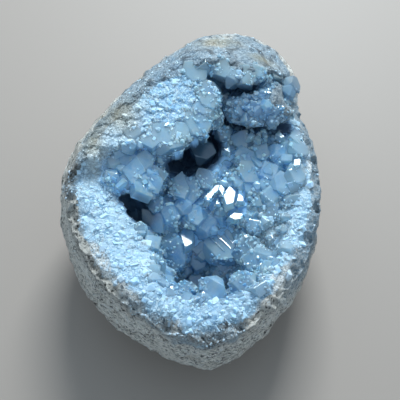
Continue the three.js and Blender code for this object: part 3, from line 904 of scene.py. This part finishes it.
def paved(at, normal):
    """The share of the bowl that middling crystals pave: its floor and walls, less of the frosted parts, and
    none of the hollows, the roofs, the hanging mass or the bright faces."""
    x, y, z = at.T
    roofs = np.maximum(depth_inside(x, y, LEFT_ROOF), depth_inside(x, y, BACK_ROOF))
    bowl = eased(depth_inside(x, y, BOWL), start=0.5, over=3) * (1 - eased(roofs, start=-1, over=2))
    bowl = bowl * (1 - 0.75 * np.clip(spots(x, y, FROSTY), 0, 1))
    bare = np.min([np.hypot(x - middle[0], y - middle[1]) - np.abs(outline).max()
                   for middle, outline in BRIGHT], axis=0) < 0.9
    return bowl * (hollow_nearness(at) > 1.25) * (on_mass(at, normal) < 0.5) * ~bare


middling = [np.concatenate(both) for both in zip(
    seeded(lining.data, count=14000, sizes=(1.6, 5.0), pack=0.84, where=paved, lean=0.45, seed=51.0),
    seeded(lining.data, count=20000, sizes=(1.2, 3.2), pack=0.9, where=on_mass, lean=0.5, seed=53.0))]
print("middling crystals:", len(middling[0]))

# %% [markdown]
# Now every clear crystal is made and they are joined. On the real stone only the chosen faces glint, so a
# crystal that would catch the window by chance is tilted again until it doesn't. Sharp edges look like
# paper, so each crystal's edges are worn a little before a union makes one skin of all.
# %% All of the clear crystals, joined
UNEVEN = 0.10
RAISED = 0.30
TRIES, TOO_SMALL_TO_GLINT = 20, 1.4
TILT, TWIST = 0.5, 0.4
WORN_EDGE = 0.2


def face_directions(points, polygons):
    """The unit normal of each polygon, from two of its edges."""
    ahead = np.array([np.cross(points[p[1]] - points[p[0]], points[p[2]] - points[p[1]]) for p in polygons])
    return ahead / np.linalg.norm(ahead, axis=1, keepdims=True)


def placed_crystals():
    """Corners and polygons of every clear crystal: the large ones, the middling ones, the bright blocks. A
    crystal's faces are uneven by up to the share UNEVEN, it is tilted again while one of them points too near
    GLINT, and its end face is moved to its place."""
    places = [(end, size, crystal_turns(np.array([aim], float), np.radians([turn]))[0], habit)
              for end, size, aim, turn, habit in LARGE]
    for at, normal, size, rotation in zip(*middling):
        habit = (BLOCK, TABLET, RIDGE, LOZENGE, SPEAR)[int(5 * scatter(at[0], at[1], 60.0))]
        places.append((at + normal * RAISED * size, size, rotation, habit))
    for number, (end, size, rotation, habit) in enumerate(places):
        points, polygons = clean_crystal(habit, UNEVEN, number)
        directions = face_directions(points, polygons)
        for attempt in range(TRIES):
            if size < TOO_SMALL_TO_GLINT or (directions @ rotation.T @ GLINT).max() < NEAR_GLINT:
                break
            one, other = TILT * scatter(number, attempt), TILT * scatter(attempt, number)
            aim = np.array([[one - TILT / 2, other - TILT / 2, 1.0]])
            rotation = rotation @ crystal_turns(aim, np.array([TWIST]))[0]
        yield (points - [0, 0, points[:, 2].max()]) * size @ rotation.T + np.array(end), polygons
    for middle, outline in BRIGHT:
        yield bright_block(np.array(middle), outline)


def clear_crystals():
    """The edges of each crystal are worn by a sixtieth of its length or WORN_EDGE, whichever is less, and a
    union of all of them makes one skin. Each keeps a tint: half its own, half that of each of its faces."""
    group = bpy.data.collections.new("clear crystals")
    first = None
    for number, (points, polygons) in enumerate(placed_crystals()):
        one = to_object(f"crystal_{number}", points, np.concatenate(polygons),
                        np.array([len(polygon) for polygon in polygons]))
        tint = one.data.attributes.new("tint", "FLOAT", "FACE")
        own = scatter(number, np.arange(len(polygons)), 3.0)
        tint.data.foreach_set("value", (0.5 * scatter(number, 3.0) + 0.5 * own).astype(np.float32))
        worn = one.modifiers.new("worn edges", "BEVEL")
        worn.width, worn.segments, worn.limit_method = min(WORN_EDGE, np.ptp(points) / 60) * MM, 1, "NONE"
        if first is None:
            first = one
        else:
            group.objects.link(one)
    join = first.modifiers.new("join", "BOOLEAN")
    join.operation, join.solver = "UNION", "MANIFOLD"
    join.operand_type, join.collection = "COLLECTION", group
    applied(first)
    for one in list(group.objects):
        bpy.data.objects.remove(one)
    first.name = first.data.name = "clear_crystals"
    return first


clear = clear_crystals()
store(clear.data, colour_shares(corner_points(clear.data)))
print("clear crystals:", len(clear.data.polygons), "faces")

# %% [markdown]
# The smallest crystals are a druse: clusters of millimetre crystals on the larger ones, and sugary grains
# and small blocks all over the crust. They are too many to be joined, so each layer is one mesh of small
# closed crystals, sunk by a share of their size.
# %% The druse
SMALL_UNEVEN = 0.12
SMALL = [clean_crystal(habit, SMALL_UNEVEN, seed) for seed, habit in
         enumerate((TABLET, SPEAR, RIDGE, LOZENGE, BLOCK, SPEAR, LOZENGE, BLOCK))]
HIGHEST_GRAIN = 72.3


def druse_layer(name, places, stretch, sunk, seed):
    """One layer of small crystals of eight kinds. Each is longer or shorter by up to the share `stretch`
    along each of its directions, and sunk by the share `sunk` of its size."""
    at, normal, size, rotations = places
    sizes = size[:, None] * (1 + stretch * either_way(at[:, 2], at[:, 0], seed))
    kinds = np.floor(len(SMALL) * scatter(at[:, 0], at[:, 1], seed + 4)).astype(int)
    shares = colour_shares(at)
    shares["tint"] = scatter(at[:, 1], at[:, 0], seed + 5)
    return crystal_field(name, SMALL, kinds, at - normal * (sunk * size)[:, None], sizes, rotations, shares)


def clustered(at, normal):
    """Clusters where soft noise is high, but not inside a hollow, on a bright face or below 16 mm."""
    bare = (hollow_nearness(at) < 1.1) | (normal @ GLINT > ON_GLINT) | (at[:, 2] < 16)
    return eased(lumps(at, width=5.0, seed=61.0), start=-0.1, over=0.5) * ~bare


def crusted(at, normal):
    """Grains wherever the crust is. The roof on the left has them in patches, away from its smooth lip."""
    x, y, _ = at.T
    shares = colour_shares(at)
    roof = eased(depth_inside(x, y, LEFT_ROOF), start=1, over=3)
    patches = eased(lumps(at, width=9.0, seed=62.0) + 0.10 * (y - 16), start=0, over=0.6)
    share = 0.6 + roof * (0.4 + 0.3 * patches - 0.6)
    lit = np.clip(shares["crust"] * (1 + 0.8 * roof), 0, 1) * (1 - 0.6 * shares["stained"])
    lit = lit * (1 - 0.8 * shares["stony"])
    return lit * share * (hollow_nearness(at) > 1.1)


def dusted(at, normal):
    """Grains on the rind wherever celestite dust whitens it, but only in patches on the top of the nodule."""
    patches = eased(lumps(at, width=6.0, seed=63.0), start=-0.2, over=0.5)
    high = eased(at[:, 2], start=48, over=8)
    dust = rind_shares(at)["frosted"]
    return 0.8 * dust ** 2 * (1 - high * (1 - 0.6 * patches)) * (at[:, 2] < HIGHEST_GRAIN)


def iced(at, normal):
    """Grains on the clear crystals that stand in the frosty parts, but not inside a hollow."""
    x, y, _ = at.T
    free = (hollow_nearness(at) > 1.1) & (normal @ GLINT < ON_GLINT)
    return 0.5 * spots(x, y, FROSTY) * (normal[:, 2] > 0.1) * free


cluster_places = seeded(clear.data, count=11000, sizes=(0.4, 1.1), pack=1.1, where=clustered, lean=0.8,
                        seed=71.0)
small = druse_layer("druse_small", cluster_places, stretch=0.2, sunk=0.3, seed=75.0)
on_crust = seeded(lining.data, count=46000, sizes=(0.32, 0.8), pack=1.0, where=crusted, lean=0.8, seed=91.0)
on_rim = seeded(rind.data, count=40000, sizes=(0.28, 0.62), pack=1.0, where=dusted, lean=0.8, seed=92.0,
                skins=(OUTER, BROKEN))
on_clear = seeded(clear.data, count=14000, sizes=(0.25, 0.6), pack=1.0, where=iced, lean=0.8, seed=93.0)
grain_places = [np.concatenate(every) for every in zip(on_crust, on_rim, on_clear)]
sugar = druse_layer("sugar_grains", grain_places, stretch=0.25, sunk=0.74, seed=95.0)
block_places = seeded(lining.data, count=24000, sizes=(0.6, 2.0), pack=0.85, where=crusted, lean=0.22,
                      seed=94.0)
blocks = druse_layer("crust_blocks", block_places, stretch=0.2, sunk=0.74, seed=96.0)

# %% [markdown]
# Cutting can leave a crumb that touches nothing. A real crumb would have fallen out, so each loose shell
# with only a few points is taken away. It goes last, because the strewn crystals were drawn on the whole
# surface.
# %% Fallen crumbs
CRUMB_POINTS = 50


def shells(mesh):
    """A number for each point, shared by all the points that edges join to it. Each point takes the lowest
    number around it, over and over, until none changes."""
    ends = np.empty(len(mesh.edges) * 2, np.int32)
    mesh.edges.foreach_get("vertices", ends)
    first, second = ends.reshape(-1, 2).T
    shell = np.arange(len(mesh.vertices))
    while True:
        lowest = np.minimum(shell[first], shell[second])
        joined = shell.copy()
        np.minimum.at(joined, first, lowest)
        np.minimum.at(joined, second, lowest)
        joined = joined[joined]
        if (joined == shell).all():
            return shell
        shell = joined


for piece in (rind, lining):
    shell = shells(piece.data)
    fallen = np.flatnonzero(np.bincount(shell, minlength=len(shell))[shell] < CRUMB_POINTS)
    shape = bmesh.new()
    shape.from_mesh(piece.data)
    shape.verts.ensure_lookup_table()
    bmesh.ops.delete(shape, geom=[shape.verts[point] for point in fallen], context="VERTS")
    shape.to_mesh(piece.data)
    shape.free()
    print(piece.name, "crumb points taken away:", len(fallen))

# %% [markdown]
# Materials are trees of nodes, and a few helper functions keep that code short: one makes a node with its
# values and links, the others are the handful of mixes that every stone here needs. A mix by a share that
# is stored on the mesh is how a colour finds its place.
# %% Node helpers
def new_material(name):
    """A material with an empty node tree, and the tree."""
    material = bpy.data.materials.new(name)
    material.use_nodes = True
    material.node_tree.nodes.clear()
    return material, material.node_tree


def node(tree, kind, inputs=None, **settings):
    """A node of that kind: settings are its own, and inputs are values or sockets by input name or number."""
    made = tree.nodes.new("ShaderNode" + kind)
    for name, value in settings.items():
        setattr(made, name, value)
    for name, value in (inputs or {}).items():
        if isinstance(value, bpy.types.NodeSocket):
            tree.links.new(value, made.inputs[name])
        else:
            made.inputs[name].default_value = value
    return made


def stored(tree, name):
    """The share of that name, which is stored on the mesh."""
    return node(tree, "Attribute", attribute_type="GEOMETRY", attribute_name=name).outputs["Fac"]


def blend(tree, amount, a, b, kind="MIX"):
    """Mixes two colours by a share."""
    mixed = node(tree, "Mix", data_type="RGBA", blend_type=kind, clamp_factor=True)
    for number, value in ((0, amount), (6, a), (7, b)):
        if isinstance(value, bpy.types.NodeSocket):
            tree.links.new(value, mixed.inputs[number])
        else:
            mixed.inputs[number].default_value = value if number == 0 else (*value, 1)
    return mixed.outputs[2]


def maths(tree, operation, a, b=0.0):
    """One sum of two values."""
    return node(tree, "Math", {0: a, 1: b}, operation=operation, use_clamp=False).outputs[0]


def tinted(tree, base, name, amount, colour):
    """The base, mixed towards a colour by that amount of a stored share."""
    return blend(tree, maths(tree, "MULTIPLY", stored(tree, name), amount), base, colour)


def bumps(tree, height, strength, depth):
    """Bump from a height, with its depth in metres."""
    return node(tree, "Bump", {"Strength": strength, "Distance": depth, "Height": height}).outputs[0]


def put_out(tree, shading, **inside):
    """The principled shader with that shading becomes the surface, and a volume goes inside if given."""
    shader = node(tree, "BsdfPrincipled", shading)
    node(tree, "OutputMaterial", {"Surface": shader.outputs[0], **inside})


def ramp(tree, value, stops):
    """A colour ramp from (place, grey or colour) stops."""
    made = node(tree, "ValToRGB", {0: value})
    while len(made.color_ramp.elements) < len(stops):
        made.color_ramp.elements.new(0.5)
    for element, (place, colour) in zip(made.color_ramp.elements, stops):
        element.position = place
        element.color = (colour, colour, colour, 1) if isinstance(colour, float) else (*colour, 1)
    return made.outputs[0]


print("node helpers are ready")

# %% [markdown]
# Fine mottling is what makes a smooth mesh look like stone. One node group gives every stone the same
# kind, and each material sets its own width, how much flatter than wide its marks are, and a seed.
# %% The mottling that every stone here shares
def build_mottling():
    """Noise at a given width in metres, stretched level by a given factor. Puts out a soft mottling, a fine
    grain, and thin veins where a third noise passes its middle value."""
    tree = bpy.data.node_groups.new("Stone mottling", "ShaderNodeTree")
    for name, value in (("Width", 0.008), ("Level stretch", 1.0), ("Seed", 0.0)):
        tree.interface.new_socket(name, in_out="INPUT", socket_type="NodeSocketFloat").default_value = value
    for name in ("Mottling", "Grain", "Veins"):
        tree.interface.new_socket(name, in_out="OUTPUT", socket_type="NodeSocketFloat")
    given = tree.nodes.new("NodeGroupInput").outputs
    out = tree.nodes.new("NodeGroupOutput").inputs
    place = node(tree, "TexCoord").outputs["Object"]
    split = node(tree, "SeparateXYZ", {0: place}).outputs
    level = node(tree, "CombineXYZ", {"X": split["X"], "Y": split["Y"],
                                      "Z": maths(tree, "MULTIPLY", split["Z"], given["Level stretch"])})
    scale = maths(tree, "DIVIDE", 1.0, given["Width"])
    soft = node(tree, "TexNoise", {"Vector": level.outputs[0], "W": given["Seed"], "Scale": scale,
                                   "Detail": 5.0, "Roughness": 0.6, "Distortion": 0.6},
                noise_dimensions="4D")
    fine = node(tree, "TexNoise", {"Vector": level.outputs[0], "W": given["Seed"],
                                   "Scale": maths(tree, "MULTIPLY", scale, 6.0),
                                   "Detail": 4.0, "Roughness": 0.75}, noise_dimensions="4D")
    vein = node(tree, "TexNoise", {"Vector": level.outputs[0], "W": maths(tree, "ADD", given["Seed"], 9.0),
                                   "Scale": maths(tree, "MULTIPLY", scale, 0.9),
                                   "Detail": 3.0, "Roughness": 0.5, "Distortion": 1.2},
                noise_dimensions="4D")
    near = maths(tree, "ABSOLUTE", maths(tree, "SUBTRACT", vein.outputs[0], 0.5))
    thin = node(tree, "MapRange", {"Value": near, "From Min": 0.0, "From Max": 0.02, "To Min": 1.0,
                                   "To Max": 0.0}).outputs[0]
    for name, value in (("Mottling", soft.outputs[0]), ("Grain", fine.outputs[0]), ("Veins", thin)):
        tree.links.new(value, out[name])
    return tree


MOTTLING = build_mottling()
print("mottling group:", len(MOTTLING.nodes), "nodes")


def mottling(tree, width, stretch=1.0, seed=0.0):
    """The mottling group placed in a material, with its own values."""
    placed = tree.nodes.new("ShaderNodeGroup")
    placed.node_tree = MOTTLING
    for name, value in (("Width", width), ("Level stretch", stretch), ("Seed", seed)):
        placed.inputs[name].default_value = value
    return placed.outputs


# %% [markdown]
# The rind is limestone: grey, in thin level layers, with brown dirt in its dents, pale veins and dark
# specks. It has no shine. The colours come from ramps over the mottling, and the same mottling drives the
# bump.
# %% The rind's material
def rind_material():
    """Grey mottled limestone, darkened by specks and dirty patches, lightened by chalk and veins. Then come
    dust, bare stone at the rim, the blue that shows through, and stains, each by its stored share."""
    material, tree = new_material("Weathered limestone")
    layers = mottling(tree, width=0.0075, stretch=2.6, seed=1.0)
    rough = mottling(tree, width=0.0085, stretch=1.8, seed=2.0)
    base = ramp(tree, layers["Mottling"], [(0.38, (0.20, 0.18, 0.15)), (0.46, (0.74, 0.71, 0.64)),
                                           (0.54, (0.88, 0.85, 0.77)), (0.64, (0.95, 0.91, 0.84))])
    specks = ramp(tree, rough["Grain"], [(0.42, 0.0), (0.46, 0.50), (0.50, 1.0)])
    base = blend(tree, 0.95, base, specks, "MULTIPLY")
    broad = mottling(tree, width=0.016, stretch=1.6, seed=5.0)
    patches = ramp(tree, broad["Mottling"], [(0.42, 0.78), (0.54, 1.0)])
    base = blend(tree, 1.0, base, patches, "MULTIPLY")
    chalk = ramp(tree, layers["Grain"], [(0.49, 0.0), (0.54, 1.0)])
    base = blend(tree, chalk, base, (0.96, 0.92, 0.84))
    base = blend(tree, maths(tree, "MULTIPLY", layers["Veins"], 0.7), base, (0.90, 0.92, 0.92))
    dust = maths(tree, "MULTIPLY", stored(tree, "frosted"),
                 ramp(tree, rough["Mottling"], [(0.38, 0.60), (0.56, 1.0)]))
    base = blend(tree, dust, base, ramp(tree, layers["Grain"], [(0.42, (0.17, 0.23, 0.28)),
                                                                (0.50, (0.31, 0.43, 0.54)),
                                                                (0.56, (0.45, 0.57, 0.64))]))
    spotted = ramp(tree, rough["Mottling"], [(0.41, 0.15), (0.49, 1.0)])
    base = tinted(tree, base, "frosted", 0.9, blend(tree, 1.0, base, spotted, "MULTIPLY"))
    base = tinted(tree, base, "stony", 0.7, blend(tree, 1.0, (0.46, 0.44, 0.40), specks, "MULTIPLY"))
    thin = ramp(tree, rough["Grain"], [(0.40, 1.0), (0.60, 0.45)])
    base = tinted(tree, base, "blued", thin, (0.20, 0.34, 0.46))
    base = tinted(tree, base, "stained", 0.55, (0.46, 0.40, 0.26))
    height = maths(tree, "ADD", layers["Mottling"], maths(tree, "MULTIPLY", rough["Grain"], 1.2))
    put_out(tree, {"Base Color": base, "Roughness": 0.85, "Specular IOR Level": 0.3,
                   "Normal": bumps(tree, height, strength=1.0, depth=0.0030)})
    return material


limestone = rind_material()
print(limestone.name, "has", len(limestone.node_tree.nodes), "nodes")

# %% [markdown]
# The massive celestite is blue and dull, and light goes a few millimetres into it, so it has subsurface
# scattering. Its crust is paler and greyer, the hollows, the pocket and the hanging mass are painted dark as
# shade, and at the rim grains of the host rock are mixed in. Small cells in the bump stand for the broken
# grains.
# %% The lining's material
def lining_material():
    """Blue in the bowl and pale on the crust, then painted shade in the hollows, the pocket and on the
    hanging mass, the ochre stains with their specks, and the bare stone, each by its stored share."""
    material, tree = new_material("Sugary celestite")
    soft = mottling(tree, width=0.010, stretch=1.0, seed=3.0)
    fine = mottling(tree, width=0.003, stretch=1.0, seed=4.0)
    blue = ramp(tree, soft["Mottling"], [(0.35, (0.22, 0.45, 0.72)), (0.65, (0.42, 0.68, 0.90))])
    pale = ramp(tree, soft["Mottling"], [(0.36, (0.16, 0.30, 0.44)), (0.5, (0.235, 0.385, 0.52)),
                                         (0.62, (0.33, 0.49, 0.60))])
    pale = blend(tree, ramp(tree, fine["Mottling"], [(0.43, 0.0), (0.60, 0.8)]), pale, (0.50, 0.65, 0.75))
    base = blend(tree, stored(tree, "crust"), blue, pale)
    # Painted shade: a near black mixed in where the hollows, the pocket, the hanging mass and the front lie
    # in shade.
    base = blend(tree, stored(tree, "painted_shade"), base, (0.035, 0.070, 0.125))
    base = tinted(tree, base, "stained", 0.8, (0.60, 0.57, 0.47))
    specks = ramp(tree, fine["Grain"], [(0.44, 0.30), (0.53, 1.0)])
    base = blend(tree, stored(tree, "stained"), base, blend(tree, 1.0, base, specks, "MULTIPLY"))
    stone = ramp(tree, fine["Grain"], [(0.41, (0.13, 0.12, 0.10)), (0.48, (0.50, 0.48, 0.43)),
                                       (0.56, (0.80, 0.81, 0.80))])
    base = blend(tree, stored(tree, "stony"), base, stone)
    grain = node(tree, "TexVoronoi", {"Vector": node(tree, "TexCoord").outputs["Object"], "Scale": 900.0})
    height = maths(tree, "ADD", fine["Grain"], maths(tree, "MULTIPLY", grain.outputs["Distance"], 0.6))
    put_out(tree, {
        "Base Color": base, "Roughness": 0.75, "IOR": 1.45, "Specular IOR Level": 0.2,
        "Normal": bumps(tree, height, strength=0.25, depth=0.0006),
        "Subsurface Weight": 0.8, "Subsurface Radius": (1.0, 1.0, 1.0), "Subsurface Scale": 0.003})
    return material


massive = lining_material()
print(massive.name, "has", len(massive.node_tree.nodes), "nodes")

# %% [markdown]
# Three materials serve the crystals, and one function makes them. Clear celestite lets most light through
# and bends it by its index of refraction, about 1.6. A milky share scatters the rest close under the
# surface, and a blue volume absorbs more the deeper light goes. The small crystals are milkier, and the
# sugary grains are nearly opaque.
# %% The crystals' materials
def crystal_material(name, clearness, roughness, density, soft_depth, frost=(0.66, 0.83, 0.94)):
    """Clear crystal with a milky share: plain transmission, blue absorption inside, the depth in metres that
    its milkiness scatters light over, and the colour that the crust frosts it with."""
    material, tree = new_material(name)
    soft = mottling(tree, width=0.006, stretch=1.0, seed=6.0)
    own = maths(tree, "ADD", soft["Mottling"], maths(tree, "MULTIPLY", stored(tree, "tint"), 0.36))
    blue = ramp(tree, own, [(0.44, (0.29, 0.62, 0.94)), (0.90, (0.66, 0.90, 1.0))])
    clouds = mottling(tree, width=0.0035, stretch=1.0, seed=7.0)
    cloudy = ramp(tree, clouds["Mottling"], [(0.50, 0.0), (0.64, 0.55)])
    base = blend(tree, cloudy, blue, (0.80, 0.93, 1.0))
    base = blend(tree, maths(tree, "MULTIPLY", soft["Veins"], 0.35), base, (0.85, 0.95, 1.0))
    # Painted shade darkens the crystals towards a deep blue in the hollows, the pocket, on the hanging mass
    # and towards the front.
    for share, amount, colour in (("crust", 0.8, frost), ("painted_shade", 0.85, (0.15, 0.29, 0.44)),
                                  ("stained", 0.8, (0.50, 0.47, 0.37)), ("stony", 0.6, (0.42, 0.44, 0.44))):
        base = tinted(tree, base, share, amount, colour)
    inside = node(tree, "VolumeAbsorption", {"Color": (0.40, 0.74, 0.98, 1), "Density": density})
    put_out(tree, {
        "Base Color": base, "Roughness": roughness, "IOR": 1.6,
        "Normal": bumps(tree, soft["Grain"], strength=0.12, depth=0.0003),
        "Transmission Weight": clearness, "Subsurface Weight": 1.0,
        "Subsurface Radius": (1.0, 1.0, 1.0), "Subsurface Scale": soft_depth}, Volume=inside.outputs[0])
    return material


clearest = crystal_material("Clear celestite", clearness=0.7, roughness=0.10, density=20.0, soft_depth=0.002)
milky = crystal_material("Milky celestite", clearness=0.5, roughness=0.10, density=60.0, soft_depth=0.0004)
sugary = crystal_material("Sugary grains", clearness=0.1, roughness=0.85, density=20.0, soft_depth=0.0008,
                          frost=(0.43, 0.59, 0.73))
print("crystal materials:", clearest.name, milky.name, sugary.name, sep="\n  ")


# %% [markdown]
# Each piece now gets its material, the CAD part that it stands for, and the one body that it moves with.
# The small layers all grew on the celestite, so they stand for the same part as the lining does.
# %% Dress the pieces
def dress(piece, material, node_name):
    """The material goes on, and the piece stands for its node and rides on the one body."""
    piece.data.materials.clear()
    piece.data.materials.append(material)
    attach(piece, "root")
    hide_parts(node_name)


dress(rind, limestone, "rind")
for piece, material in ((lining, massive), (clear, clearest), (small, milky),
                        (sugar, sugary), (blocks, sugary)):
    dress(piece, material, "celestite_lining")
    print(piece.name, "wears", material.name)

# %% [markdown]
# The stage: a plain pale floor that the geode rests on.
# %% Floor
FLOOR_HALF = 2
floor_mesh = bpy.data.meshes.new("floor")
floor_mesh.from_pydata([(-FLOOR_HALF, -FLOOR_HALF, 0), (FLOOR_HALF, -FLOOR_HALF, 0),
                        (FLOOR_HALF, FLOOR_HALF, 0), (-FLOOR_HALF, FLOOR_HALF, 0)], [], [(0, 1, 2, 3)])
floor = in_scene("floor", floor_mesh)
floor_material, floor_tree = new_material("Pale floor")
put_out(floor_tree, {"Base Color": (0.26, 0.22, 0.19, 1), "Roughness": 0.6})
floor_mesh.materials.append(floor_material)
print("floor:", 2 * FLOOR_HALF, "m wide")

# %% [markdown]
# Daylight from a window is soft and comes from one side, so the light is one large rectangle behind and
# above the geode, which it faces. The sky fills the shadows with a dim blue.
# %% Window and sky
WINDOW_TOWARDS = Vector(np.array([0.12, 0.72, 0.68]) / np.linalg.norm([0.12, 0.72, 0.68]))
WINDOW_DISTANCE = 1.2
GEODE_MIDDLE = Vector((0.0, 0.0, 0.035))
window = bpy.data.lights.new("window", "AREA")
window.shape, window.size, window.size_y = "RECTANGLE", 0.5, 0.35
window.energy, window.color = 23.0, (0.86, 0.95, 1.0)
light = in_scene("window", window)
light.location = GEODE_MIDDLE + WINDOW_TOWARDS * WINDOW_DISTANCE
light.rotation_euler = WINDOW_TOWARDS.to_track_quat("Z", "Y").to_euler()

world = bpy.data.worlds.new("sky")
bpy.context.scene.world = world
world.use_nodes = True
sky = world.node_tree.nodes["Background"].inputs
sky["Color"].default_value = (0.66, 0.84, 1.0, 1)
sky["Strength"].default_value = 0.85
print("window:", window.energy, "W")

# %% [markdown]
# The camera looks down steeply from the front, near enough for the geode to fill the picture. Its lens in
# millimetres is the lens in pixels over the picture's width in pixels, times the width of the sensor.
# %% Camera
STEEPNESS = math.radians(58)
CAMERA_DISTANCE = 0.34
SENSOR, LENS_PIXELS, PICTURE_PIXELS = 36.0, 829, 400
camera_data = bpy.data.cameras.new("camera")
camera_data.sensor_width, camera_data.lens = SENSOR, SENSOR * LENS_PIXELS / PICTURE_PIXELS
camera = in_scene("camera", camera_data)
look_at = Vector((0.0037, -0.0065, 0.036))
towards = Vector((0, -math.cos(STEEPNESS), math.sin(STEEPNESS)))
camera.location = look_at + towards * CAMERA_DISTANCE
camera.rotation_euler = towards.to_track_quat("Z", "Y").to_euler()
camera_data.clip_start = 0.01
bpy.context.scene.camera = camera
bpy.context.scene.view_settings.view_transform = "Standard"
print("camera:", round(camera_data.lens, 1), "mm lens")
